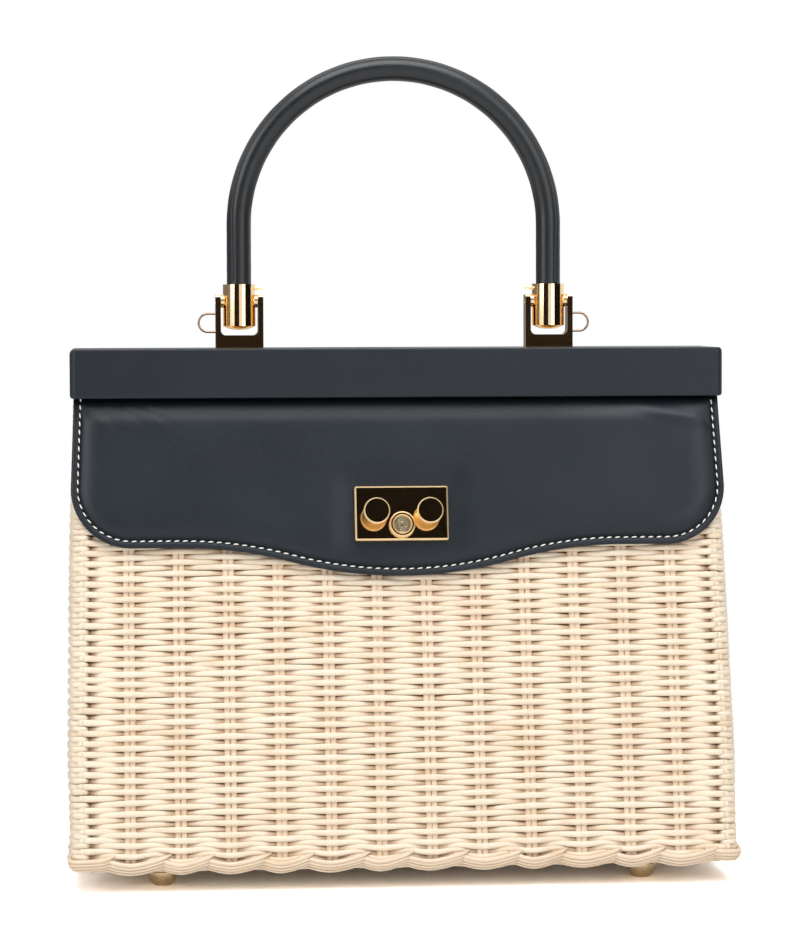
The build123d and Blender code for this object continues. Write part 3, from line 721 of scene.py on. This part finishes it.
def make_flap():
    """The padded flap and its stitches; an attribute of painted shade darkens it under the bar,
    faintly in a strip below the bar away from the upper right, and in the stitch groove."""
    line = flap_outline()
    flat, triangles = flap_faces(line)
    a, b, c = (flat[triangles[:, corner]] for corner in range(3))
    area = (b[:, 0] - a[:, 0]) * (c[:, 1] - a[:, 1]) - (b[:, 1] - a[:, 1]) * (c[:, 0] - a[:, 0])
    solid = np.abs(area) > 1e-12
    triangles = np.where(area[solid, None] > 0, triangles[solid], triangles[solid, ::-1])
    used, triangles = np.unique(triangles, return_inverse=True)
    triangles = triangles.reshape(-1, 3)
    flat = flat[used]
    x, y = flat.T
    inset = edge_distance(flat, line)
    back = FLAP_BACK + 0.25 * MM * (1 - ease(inset, 0, FLAP_ROUND))
    front = flap_point(x, y, flap_height(flat, inset))
    flap = close_sheet("padded_flap", front, flap_point(x, y, back), triangles)
    # painted shade: dark under the bar, a fainter strip below it that dims that slope's highlight
    # except at the upper right, and the stitch groove
    painted_strip_shade = 0.42 * under_bar(y, 15, 9) * (1 - ease(x, 70 * MM, 112 * MM))
    groove = 0.7 * hump(inset - STITCH_INSET - 0.5 * MM, 1.3 * MM)
    painted_shade = np.maximum(np.maximum(under_bar(y, 7.5, 3), painted_strip_shade), groove)
    point_attribute(flap, "painted_shade", "FLOAT", np.tile(painted_shade, 2))
    return flap, make_stitches(line)


def make_stitches(line):
    """Saddle stitches that lie in the groove along the flap's edge."""
    path = inset_line(line, STITCH_INSET)
    reach = reach_along(path)
    share = np.linspace(-0.5, 0.5, 7)
    slant = share * 0.35 * MM
    arch = FLAP_EDGE - 0.28 * MM + 0.42 * MM * np.cos(pi * share) ** 0.6
    centres = []
    for middle in np.arange(2 * MM, reach[-1] - 2 * MM, STITCH_PITCH):
        at = middle + share * STITCH_LENGTH
        x, y = (np.interp(at, reach, values) for values in path.T)
        direction = unit(np.array([x[-1] - x[0], y[-1] - y[0]]))
        x = x - direction[1] * slant
        y = y + direction[0] * slant
        out = arch - (FLAP_EDGE - FLAP_TUCKED) * under_bar(y, 15, 0.5)
        centres.append(flap_point(x, y, out))
    outward = np.array([0, -cos(SLOPE), sin(SLOPE)])
    half = STITCH_HALF * np.sqrt(np.clip(1.02 - (2 * share) ** 2, 0.05, 1))
    return tubes("flap_stitches", np.array(centres), outward, half, half)


# Top bar's leather

BAR_CORNER_RADIUS = 3.5 * MM
BAR_TOP_RADIUS = 0.9 * MM
BAR_LOW_RADIUS = 0.8 * MM
BAR_END_TOP_RADIUS = 2.4 * MM
BAR_LEATHER = 1.3 * MM
# the leather's way in under the bar's lower edge: inset and height above that edge
BAR_HEM = ((2.7, 0), (3.3, 0.3), (3.56, 0.8), (3.56, 6), (2.6, 6.2), (1.2, 6.4))


def bar_ring(inset):
    """The bar's rounded outline in plan, this far in, with extra points along its length."""
    half_x = bar_high.x - inset
    half_y = bar_high.y - inset
    radius = max(BAR_CORNER_RADIUS - inset, 0.5 * MM)
    points = []
    for corner, (sign_x, sign_y) in enumerate(CORNERS):
        points.extend(rounded_corner(corner, half_x, half_y, radius, 8))
        if sign_x * sign_y < 0:
            reach = sign_x * (half_y - radius)
            points.extend(join(sign_x * half_x, reach * np.linspace(-0.9, 0.9, 9)))
        else:
            reach = sign_x * (half_x - radius)
            points.extend(join(reach * np.linspace(0.97, -0.97, 33), sign_y * half_y))
    return np.array(points)


def make_bar_cover():
    """Leather over the whole bar, turned in under its lower edge; its ends are rounded down."""
    top, low = bar_high.z, bar_low.z
    turns = [pi / 2 * step / 5 for step in range(6)]
    levels = [(inset * MM, top) for inset in (20, 8, 3.4)]
    levels += [(BAR_TOP_RADIUS * (1 - sin(t)), top - BAR_TOP_RADIUS * (1 - cos(t))) for t in turns]
    levels += [(0, z) for z in np.linspace(top - 3.5 * MM, low + 2.5 * MM, 8)]
    levels += [(BAR_LOW_RADIUS * (1 - cos(t)), low + BAR_LOW_RADIUS * (1 - sin(t))) for t in turns]
    levels += [(inset * MM, low + height * MM) for inset, height in BAR_HEM]
    levels += [(inset * MM, top - BAR_LEATHER) for inset in (1.2, 8, 20)]
    rings = []
    for inset, z in levels:
        ring = bar_ring(inset)
        end_gap = bar_high.x - np.abs(ring[:, 0])
        fall = np.clip(1 - end_gap / BAR_END_TOP_RADIUS, 0, 1)
        drop = BAR_END_TOP_RADIUS * (1 - np.sqrt(np.clip(1 - fall ** 2, 0, 1))) * 0.8
        if z > (top + low) / 2:
            height = z - drop * ease(z, top - 8 * MM, top)
        else:
            height = z + drop * 0.5 * (1 - ease(z, low, low + 5 * MM))
        rings.append(join(*ring.T, height))
    return ring_solid("bar_cover", rings)


# Handle

HANDLE_HALF = 78.6 * MM
HANDLE_RADIUS = 6.2 * MM
ARCH_CENTRE = grip_high.z - HANDLE_HALF - HANDLE_RADIUS
FERRULE_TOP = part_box("ferrule_left")[1].z
SEAM_ANGLE = 50
SEAM_TWIST = 28
SEAM_HALF = 1.15 * MM
SEAM_RISE = 0.28 * MM
SEAM_GROOVE = 0.16 * MM


def make_handle():
    """The rolled leather arch, with the raised welt of its seam on the outer front side."""
    left = join(-HANDLE_HALF, 0, np.linspace(grip_low.z, ARCH_CENTRE, 24)[:-1])
    angles = np.linspace(pi, 0, 120)
    arch = join(HANDLE_HALF * np.cos(angles), 0, ARCH_CENTRE + HANDLE_HALF * np.sin(angles))
    path = np.concatenate([left, arch, left[::-1] * (-1, 1, 1)])
    along = unit(np.gradient(path, axis=0))
    outer = join(-along[:, 2], 0, along[:, 0])
    forward = np.array([0, -1.0, 0])
    fine = np.linspace(-2.6 * MM, 2.6 * MM, 21) / HANDLE_RADIUS
    from_seam = np.concatenate([fine, np.linspace(fine[-1], fine[0] + 2 * pi, 36)[1:-1]])
    height = path[:, 2]
    twist = SEAM_TWIST * ease(height, ARCH_CENTRE - 20 * MM, ARCH_CENTRE + HANDLE_HALF)
    turns = np.radians(SEAM_ANGLE - twist)[:, None] + from_seam
    gap = np.abs((from_seam + pi) % (2 * pi) - pi) * HANDLE_RADIUS
    welt = SEAM_RISE * (1 - ease(gap, SEAM_HALF - 0.25 * MM, SEAM_HALF + 0.05 * MM))
    groove = SEAM_GROOVE * hump(gap - SEAM_HALF - 0.25 * MM, 0.3 * MM)
    free = ease(height, FERRULE_TOP + 0.2 * MM, FERRULE_TOP + 2.2 * MM)
    radius = HANDLE_RADIUS - 0.03 * MM + (welt - groove) * free[:, None]
    swell = 1 + 0.004 * np.sin(np.arange(len(path)) * 0.9)
    radius = radius * np.where(free > 0.5, swell, 1)[:, None]
    ring = outer[:, None] * np.cos(turns)[..., None] + forward * np.sin(turns)[..., None]
    return ring_solid("handle_leather_roll", path[:, None] + ring * radius[..., None])


# Lining, with its corners rounded inside the corner posts

LINING_WALL = 1.1 * MM
LINING_INSET = 5.4 * MM
LINING_RADIUS = 7 * MM


def make_lining():
    """A fitted canvas lining: floor, four walls and rounded corners, outside first."""
    floor_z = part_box("lining")[0].z
    levels = [(floor_z, less * MM) for less in (60, 30, 8, 1)]
    levels += [(z, 0) for z in np.linspace(floor_z + 1 * MM, WALL_TOP, 22)]
    rings = []
    for wall, way in ((0, 1), (LINING_WALL, -1)):
        for z, less in levels[::way]:
            z = z + (wall if less else 0)
            half_x = half_width(z) - LINING_INSET - wall - less
            half_y = half_depth(z) - LINING_INSET - wall - less
            radius = min(LINING_RADIUS, half_y * 0.8)
            ring = [rounded_corner(corner, half_x, half_y, radius, 6) for corner in range(4)]
            rings.append(join(*np.concatenate(ring)[::-1].T, z))
    return ring_solid("canvas_lining", rings)


# Materials


def node(tree, kind, inputs=None, **settings):
    """A shader node, with its settings, and its inputs set or linked."""
    made = tree.nodes.new("ShaderNode" + kind)
    for key, value in settings.items():
        setattr(made, key, value)
    for key, value in (inputs or {}).items():
        if isinstance(value, bpy.types.NodeSocket):
            tree.links.new(value, made.inputs[key])
        else:
            made.inputs[key].default_value = value
    return made


def new_material(name, colour, roughness, **shader_values):
    """A plain material; other values of its shader are named with _ for a space."""
    material = bpy.data.materials.new(name)
    material.use_nodes = True
    shader = material.node_tree.nodes["Principled BSDF"]
    shader.inputs["Base Color"].default_value = (*colour, 1)
    shader.inputs["Roughness"].default_value = roughness
    for key, value in shader_values.items():
        shader.inputs[key.replace("_", " ")].default_value = value
    return material, material.node_tree, shader


def feed(tree, shader, **sources):
    """Links sockets to the shader's inputs, named with _ for a space."""
    for key, source in sources.items():
        tree.links.new(source, shader.inputs[key.replace("_", " ")])


def shaded(colour, factor):
    """A colour made lighter or darker."""
    return tuple(min(1, channel * factor) for channel in colour)


def object_coords(tree, scale=(1, 1, 1)):
    coords = node(tree, "TexCoord").outputs["Object"]
    return node(tree, "Mapping", {"Vector": coords, "Scale": scale}).outputs["Vector"]


def noise(tree, vector, scale, detail=2.0, roughness=0.5):
    inputs = {"Vector": vector, "Scale": scale, "Detail": detail, "Roughness": roughness}
    return node(tree, "TexNoise", inputs).outputs["Fac"]


def ramp(tree, value, low, high, to_low, to_high):
    names = ("Value", "From Min", "From Max", "To Min", "To Max")
    inputs = dict(zip(names, (value, low, high, to_low, to_high)))
    return node(tree, "MapRange", inputs).outputs["Result"]


def maths(tree, operation, first, second=0.0):
    return node(tree, "Math", {0: first, 1: second}, operation=operation).outputs[0]


def mix_colour(tree, share, first, second):
    values = {"Factor": share}
    for key, value in ((6, first), (7, second)):
        values[key] = (*value, 1) if isinstance(value, tuple) else value
    return node(tree, "Mix", values, data_type="RGBA").outputs[2]


def bump(tree, height, distance, strength=1.0, normal=None):
    inputs = {"Height": height, "Distance": distance, "Strength": strength}
    if normal is not None:
        inputs["Normal"] = normal
    return node(tree, "Bump", inputs).outputs["Normal"]


def attribute(tree, name, output="Fac"):
    return node(tree, "Attribute", attribute_name=name).outputs[output]


WICKER_LIGHT = (0.775, 0.68, 0.55)
WICKER_MID = (0.72, 0.59, 0.43)
WICKER_WARM = (0.65, 0.46, 0.29)
WICKER_PAINTED_SHADE = (0.60, 0.345, 0.18)


def wicker_material():
    """Rattan: pale, with fibres along each reed and warmer patches; the shade attribute paints
    brown shade in the weave's depths and on each reed's side towards the wall.
    """
    material, tree, shader = new_material("wicker", WICKER_LIGHT, 0.48, Specular_IOR_Level=0.42)
    inputs = {"Vector": attribute(tree, "fibre", "Vector"), "Scale": (0.16, 1.6, 1.6)}
    tone = attribute(tree, "tone")
    streaks = noise(tree, node(tree, "Mapping", inputs).outputs["Vector"], 900, 4, 0.6)
    patches = noise(tree, object_coords(tree), 60, 2)
    fibres = maths(tree, "ADD", streaks, maths(tree, "MULTIPLY", tone, -0.10))
    colour = mix_colour(tree, ramp(tree, fibres, 0.36, 0.72, 0, 1), WICKER_LIGHT, WICKER_MID)
    warm = maths(tree, "ADD", patches, maths(tree, "MULTIPLY", tone, -0.16))
    colour = mix_colour(tree, ramp(tree, warm, 0.52, 0.86, 0, 0.55), colour, WICKER_WARM)
    # painted shade: darker and browner where the shade attribute is high
    shade = ramp(tree, attribute(tree, "shade"), 0.2, 0.85, 0, 0.9)
    feed(
        tree, shader,
        Base_Color=mix_colour(tree, shade, colour, WICKER_PAINTED_SHADE),
        Roughness=ramp(tree, streaks, 0.3, 0.7, 0.4, 0.58),
        Normal=bump(tree, streaks, 0.12 * MM, 0.7),
    )
    return material


def leather_material(name, colour, roughness, gloss, grain=0.05 * MM):
    """Smooth calf: pore grain, faint cloudiness and slightly uneven gloss, with painted shade,
    darker and less glossy, where a mesh carries that attribute.
    """
    material, tree, shader = new_material(name, colour, roughness)
    coords = object_coords(tree)
    clouds = noise(tree, coords, 22, 3)
    pores = node(tree, "TexVoronoi", {"Vector": coords, "Scale": 1500.0}).outputs["Distance"]
    fine = noise(tree, coords, 900, 4)
    painted_shade = attribute(tree, "painted_shade")
    cloudy = ramp(tree, clouds, 0.3, 0.7, 0, 1)
    plain = mix_colour(tree, cloudy, shaded(colour, 0.92), shaded(colour, 1.08))
    cloud_rough = ramp(tree, clouds, 0.3, 0.7, -0.01, 0.01)
    uneven = maths(tree, "ADD", cloud_rough, ramp(tree, fine, 0.3, 0.7, -0.04, 0.05))
    grain_height = maths(tree, "ADD", maths(tree, "MULTIPLY", pores, 0.6), fine)
    feed(
        tree, shader,
        # painted shade: darker base colour and less gloss where the attribute is high
        Base_Color=mix_colour(tree, painted_shade, plain, shaded(colour, 0.15)),
        Specular_IOR_Level=ramp(tree, painted_shade, 0, 1, gloss, gloss * 0.2),
        Roughness=maths(tree, "ADD", uneven, roughness),
        Normal=bump(tree, grain_height, grain, 0.5),
    )
    return material


def metal_material(name, colour, roughness, uneven=0.02, wave=0.0, turn=0.0, edge=0.0):
    """Plated metal with faint handling marks in its polish, and satin edges where edge is given."""
    material, tree, shader = new_material(name, colour, roughness, Metallic=1.0)
    coords = object_coords(tree)
    marks = noise(tree, coords, 260, 5, 0.65)
    rough = ramp(tree, marks, 0.35, 0.75, roughness, roughness + uneven)
    if edge:
        facing = node(tree, "TexCoord").outputs["Normal"]
        facing = node(tree, "SeparateXYZ", {0: facing}).outputs["Y"]
        slanted = ramp(tree, maths(tree, "ABSOLUTE", facing), 0.80, 0.95, edge, 0)
        rough = maths(tree, "ADD", rough, slanted)
    normal = node(tree, "NewGeometry").outputs["Normal"]
    if turn:
        inputs = {0: normal, 1: (turn, 0, 0)}
        turned = node(tree, "VectorMath", inputs, operation="ADD").outputs[0]
        normal = node(tree, "VectorMath", {0: turned}, operation="NORMALIZE").outputs[0]
    if wave:
        normal = bump(tree, noise(tree, coords, 140, 1), wave, 0.6, normal)
    worn = ramp(tree, marks, 0.4, 0.8, 0, 0.5)
    tinted = mix_colour(tree, worn, colour, shaded(colour, 0.9))
    feed(tree, shader, Roughness=rough, Base_Color=tinted, Normal=normal)
    return material


def cloth_material(name, colour, thread=0.55 * MM):
    """Plain woven canvas: crossing threads, with painted shade low between them and painted light
    on their crossings.
    """
    material, tree, shader = new_material(name, colour, 0.85, Sheen_Weight=0.2)
    scale = 1 / (thread * 2 * pi) * 2
    inputs = {"Vector": object_coords(tree), "Scale": scale, "Distortion": 0.6, "Detail": 1.0}
    warp, weft = (node(tree, "TexWave", inputs, bands_direction=axis) for axis in "XZ")
    height = maths(tree, "MULTIPLY", warp.outputs["Fac"], weft.outputs["Fac"])
    # painted shade and light: darker where the weave is low, lighter where it is high
    mixed = mix_colour(tree, height, shaded(colour, 0.72), shaded(colour, 1.25))
    feed(tree, shader, Base_Color=mixed, Normal=bump(tree, height, 0.15 * MM, 0.7))
    return material


def wood_material(name, light, dark):
    """Plain plywood: long grain lines."""
    material, tree, shader = new_material(name, light, 0.55)
    grain = noise(tree, object_coords(tree, (0.06, 1, 1)), 420, 5, 0.6)
    lines = mix_colour(tree, ramp(tree, grain, 0.35, 0.65, 0, 1), light, dark)
    feed(tree, shader, Base_Color=lines, Normal=bump(tree, grain, 0.1 * MM, 0.4))
    return material


def thread_material():
    """Waxed white thread, with its strands twisted along each stitch and painted shade in the
    grooves between them.
    """
    material, tree, shader = new_material("thread", (0.86, 0.85, 0.81), 0.6)
    inputs = {"Vector": attribute(tree, "fibre", "Vector"), "Rotation": (0, 0, 0.7)}
    twist = node(tree, "Mapping", inputs).outputs["Vector"]
    strands = node(tree, "TexWave", {"Vector": twist, "Scale": 900.0}).outputs["Fac"]
    # painted shade: darker in the grooves between strands, lighter on their crowns
    colour = mix_colour(tree, strands, (0.74, 0.72, 0.67), (0.9, 0.89, 0.86))
    feed(tree, shader, Base_Color=colour, Normal=bump(tree, strands, 0.06 * MM, 0.8))
    return material


def dress(material, slot, *nodes):
    """Gives CAD nodes a finish."""
    for name in nodes:
        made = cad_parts[name]
        made.data.materials.clear()
        made.data.materials.append(material)


def piece(made, body, material, slot, *stands_for):
    """Puts a new piece on its body, with its finish, in place of CAD nodes."""
    made.data.materials.append(material)
    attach(made, body)
    if stands_for:
        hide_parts(*stands_for)


def soften(width, *nodes):
    """Small rounded edges that catch the light."""
    for name in nodes:
        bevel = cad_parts[name].modifiers.new("soft_edges", "BEVEL")
        bevel.width = width
        bevel.segments = 2
        bevel.limit_method = "ANGLE"
        bevel.angle_limit = radians(35)


# Object

GOLD = (0.93, 0.70, 0.40)
POLISH_WAVE = 0.02 * MM

wicker = wicker_material()
leather = leather_material("navy_calf", (0.0125, 0.0170, 0.0230), 0.39, 0.28)
handle_leather = leather_material("handle_calf", (0.0065, 0.0085, 0.0112), 0.32, 0.5, 0.02 * MM)
gold = metal_material("polished_gold", GOLD, 0.05, 0.03, POLISH_WAVE)
fork_gold = metal_material("fork_gold", GOLD, 0.06, 0.03, POLISH_WAVE, turn=-0.17)
# darker gold on the strap loops: a painted dark reflection
loop_gold_painted_dark = metal_material("loop_gold_painted_dark", (0.40, 0.27, 0.18), 0.12, 0.04)
plate_gold = metal_material("plate_gold", GOLD, 0.05, 0.03, POLISH_WAVE, edge=0.42)
# paler gold on the lock plug: painted light, beside its real satin roughness
lock_gold_painted_light = metal_material("lock_gold_painted_light", (0.98, 0.82, 0.55), 0.22, 0.06)
# paler gold on the feet: painted light, beside their real satin roughness
satin_gold_painted_light = metal_material("satin_gold_painted_light", (0.98, 0.76, 0.47), 0.42, 0.10)
steel = metal_material("plated_steel", (0.46, 0.45, 0.44), 0.32, 0.10)
canvas = cloth_material("canvas", (0.52, 0.32, 0.21))
suede = cloth_material("flap_suede", (0.10, 0.085, 0.075), 0.4 * MM)
board = wood_material("fibre_board", (0.30, 0.20, 0.12), (0.22, 0.14, 0.08))
wood = wood_material("birch_ply", (0.62, 0.45, 0.28), (0.48, 0.32, 0.18))
thread = thread_material()

rng = np.random.default_rng(SEED)
wander = ring_noise(rng, 26, 15, 0.42 * MM) + ring_noise(rng, ROWS, 36, 0.11 * MM)
row_tone = rng.normal(0, 0.35, ROWS)
for wall in WALLS:
    stands_for = ["woven_basket"] if wall == "front" else []
    piece(make_weave_wall(wall, wander, row_tone), "basket", wicker, "wicker", *stands_for)
    piece(make_stakes(wall, rng), "basket", wicker, "wicker")
corner_parts = make_border(rng), make_posts(rng), make_corner_reeds(wander, row_tone)
for made in (*corner_parts, *make_woven_floor(rng)):
    piece(made, "basket", wicker, "wicker")
piece(make_lining(), "basket", canvas, "canvas", "lining")

flap, stitches = make_flap()
piece(flap, "lid", leather, "navy_leather", "flap_leather", "flap_padding")
piece(stitches, "lid", thread, "navy_leather")
piece(make_bar_cover(), "lid", leather, "navy_leather", "top_bar_leather")
piece(make_handle(), "handle", handle_leather, "handle_leather", "handle_grip")

FINISHES = [
    (leather, "navy_leather", "rear_band rim_binding"),
    (suede, "canvas", "flap_lining"),
    (board, "board", "base_board"),
    (wood, "tray_wood", "top_bar"),
    (steel, "steel", "foot_screws catch_plate catch_rivets basket_hinge_leaf lid_hinge_leaf"),
    (steel, "steel", "hinge_pin hinge_rivets hinge_screws clasp_screws fork_screws"),
    (steel, "steel", "lock_case lock_cam"),
    (steel, "steel", "latch_spring_left latch_spring_right latch_slider_left latch_slider_right"),
    (satin_gold_painted_light, "gold", "foot_front_left foot_rear_left foot_front_right foot_rear_right"),
    (gold, "gold", "ferrule_left ferrule_right stop_pin_left stop_pin_right"),
    (fork_gold, "gold", "handle_fork_left handle_fork_right pivot_pin_left pivot_pin_right"),
    (loop_gold_painted_dark, "gold", "strap_loop_left strap_loop_right"),
    (plate_gold, "gold", "clasp_plate lock_collar knob_left knob_right"),
    (lock_gold_painted_light, "gold", "lock_plug"),
]
for material, slot, names in FINISHES:
    dress(material, slot, *names.split())
soften(0.25 * MM, "handle_fork_left", "handle_fork_right")
soften(0.15 * MM, "lock_plug", "lock_collar", "knob_left", "knob_right", "clasp_plate")

# Floor, lamps, dark cards, world and camera

FLOOR_HALF = 6.0
WHITE = (1, 1, 1, 1)
AIM = Vector((0, 0, 0.2))


def mix_shaders(tree, share, first, second):
    inputs = {0: share, 1: first.outputs[0], 2: second.outputs[0]}
    return node(tree, "MixShader", inputs)


def make_floor():
    """A pale floor that turns plain white a little way from the bag."""
    points = [(FLOOR_HALF * x, FLOOR_HALF * y, 0) for x, y in ((-1, -1), (1, -1), (1, 1), (-1, 1))]
    floor = build_mesh("floor", points, [[(0, 1, 2, 3)]])
    pale = (0.86, 0.85, 0.84)
    material, tree, shader = new_material("floor_white", pale, 0.9, Specular_IOR_Level=0.0)
    ray = node(tree, "LightPath").outputs["Is Camera Ray"]
    more = node(tree, "BsdfDiffuse", {"Color": (1.6, 1.45, 1.3, 1)})
    both = node(tree, "AddShader", {0: shader.outputs[0], 1: more.outputs[0]})
    white = node(tree, "Emission", {"Color": WHITE, "Strength": 1.0})
    scaled = object_coords(tree, (0.62, 1, 1))
    reach = node(tree, "VectorMath", {0: scaled}, operation="LENGTH").outputs["Value"]
    seen = mix_shaders(tree, ramp(tree, reach, 0.15, 0.34, 0, 1), both, white)
    chosen = mix_shaders(tree, ray, shader, seen)
    tree.links.new(chosen.outputs[0], tree.nodes["Material Output"].inputs["Surface"])
    floor.data.materials.append(material)


def make_world():
    """White to the camera and in reflections, and a dimmer fill light for everything else."""
    world = bpy.data.worlds.new("studio")
    scene.world = world
    world.use_nodes = True
    tree = world.node_tree
    tree.nodes.clear()
    path = node(tree, "LightPath")
    seen = maths(tree, "MAXIMUM", path.outputs["Is Camera Ray"], path.outputs["Is Glossy Ray"])
    seen = maths(tree, "MAXIMUM", seen, path.outputs["Is Transmission Ray"])
    fill, white = (
        node(tree, "Background", {"Color": WHITE, "Strength": strength}) for strength in (0.45, 1.0)
    )
    chosen = mix_shaders(tree, seen, fill, white)
    tree.links.new(chosen.outputs[0], node(tree, "OutputWorld").inputs["Surface"])


def around(azimuth, distance, height):
    """A place round the bag; azimuth 0 is in front of it and 90 at its right."""
    angle = radians(azimuth)
    return Vector((distance * sin(angle), -distance * cos(angle), height))


def make_lamp(name, azimuth, distance, height, size, power):
    """A soft box that points at the bag."""
    light = bpy.data.lights.new(name, "AREA")
    light.shape = "RECTANGLE"
    light.size, light.size_y = size
    light.energy = power
    lamp = add_object(name, light)
    lamp.location = around(azimuth, distance, height)
    lamp.rotation_euler = (AIM - lamp.location).to_track_quat("-Z", "Y").to_euler()


def make_card(name, start, stop, shade, low=-0.3, high=2.6, radius=2.9):
    """A curved dark card that only reflections see, as studio flags round polished metal."""
    steps = max(2, int(abs(stop - start) / 3))
    points = [
        around(start + (stop - start) * step / steps, radius, z)
        for step in range(steps + 1) for z in (low, high)
    ]
    faces = [(2 * step, 2 * step + 2, 2 * step + 3, 2 * step + 1) for step in range(steps)]
    card = build_mesh(name, points, [faces])
    card.data.materials.append(new_material(name + "_felt", shade, 0.9, Specular_IOR_Level=0.0)[0])
    for kind in ("camera", "diffuse", "transmission", "shadow"):
        setattr(card, f"visible_{kind}", False)


make_floor()
make_world()
make_lamp("left_softbox", -50, 2.2, 1.0, (1.0, 1.5), 15)
make_lamp("right_softbox", 30, 2.3, 0.9, (0.9, 1.5), 11)
make_lamp("top_softbox", 0, 1.0, 2.2, (2.2, 1.4), 42)
make_card("card_front", -38, -3.4, (0.03, 0.022, 0.018))
make_card("card_high", -26, 26, (0.02, 0.016, 0.013), 0.95, 2.3)
make_card("card_right", 26, 92, (0.012, 0.011, 0.010), high=0.9)
make_card("card_left", -185, -82, (0.30, 0.28, 0.26), high=0.9)
make_card("card_left_edge", -81, -73, (0.02, 0.02, 0.02), high=0.9)

IMAGE_LONG_SIDE = 942
CAMERA_PLACE = Vector((-0.13660, -1.650, 0.287))
CAMERA_YAW = 0.085
CAMERA_PITCH = -0.05146
CAMERA_ROLL = -0.00287
FOCAL_PIXELS = 3259.16
SENSOR_WIDTH = 36


def make_camera():
    """The photo's camera, as fitted to the outline."""
    data = bpy.data.cameras.new("camera")
    camera = add_object("camera", data)
    turn = Matrix.Rotation(-CAMERA_YAW, 4, "Z") @ Matrix.Rotation(pi / 2 + CAMERA_PITCH, 4, "X")
    turn = turn @ Matrix.Rotation(CAMERA_ROLL, 4, "Z")
    camera.matrix_world = Matrix.Translation(CAMERA_PLACE) @ turn
    data.sensor_width = SENSOR_WIDTH
    data.lens = FOCAL_PIXELS * SENSOR_WIDTH / IMAGE_LONG_SIDE
    data.clip_start = 0.05
    data.clip_end = 50
    scene.camera = camera


make_camera()
scene.view_settings.view_transform = "Standard"

bpy.context.view_layer.update()
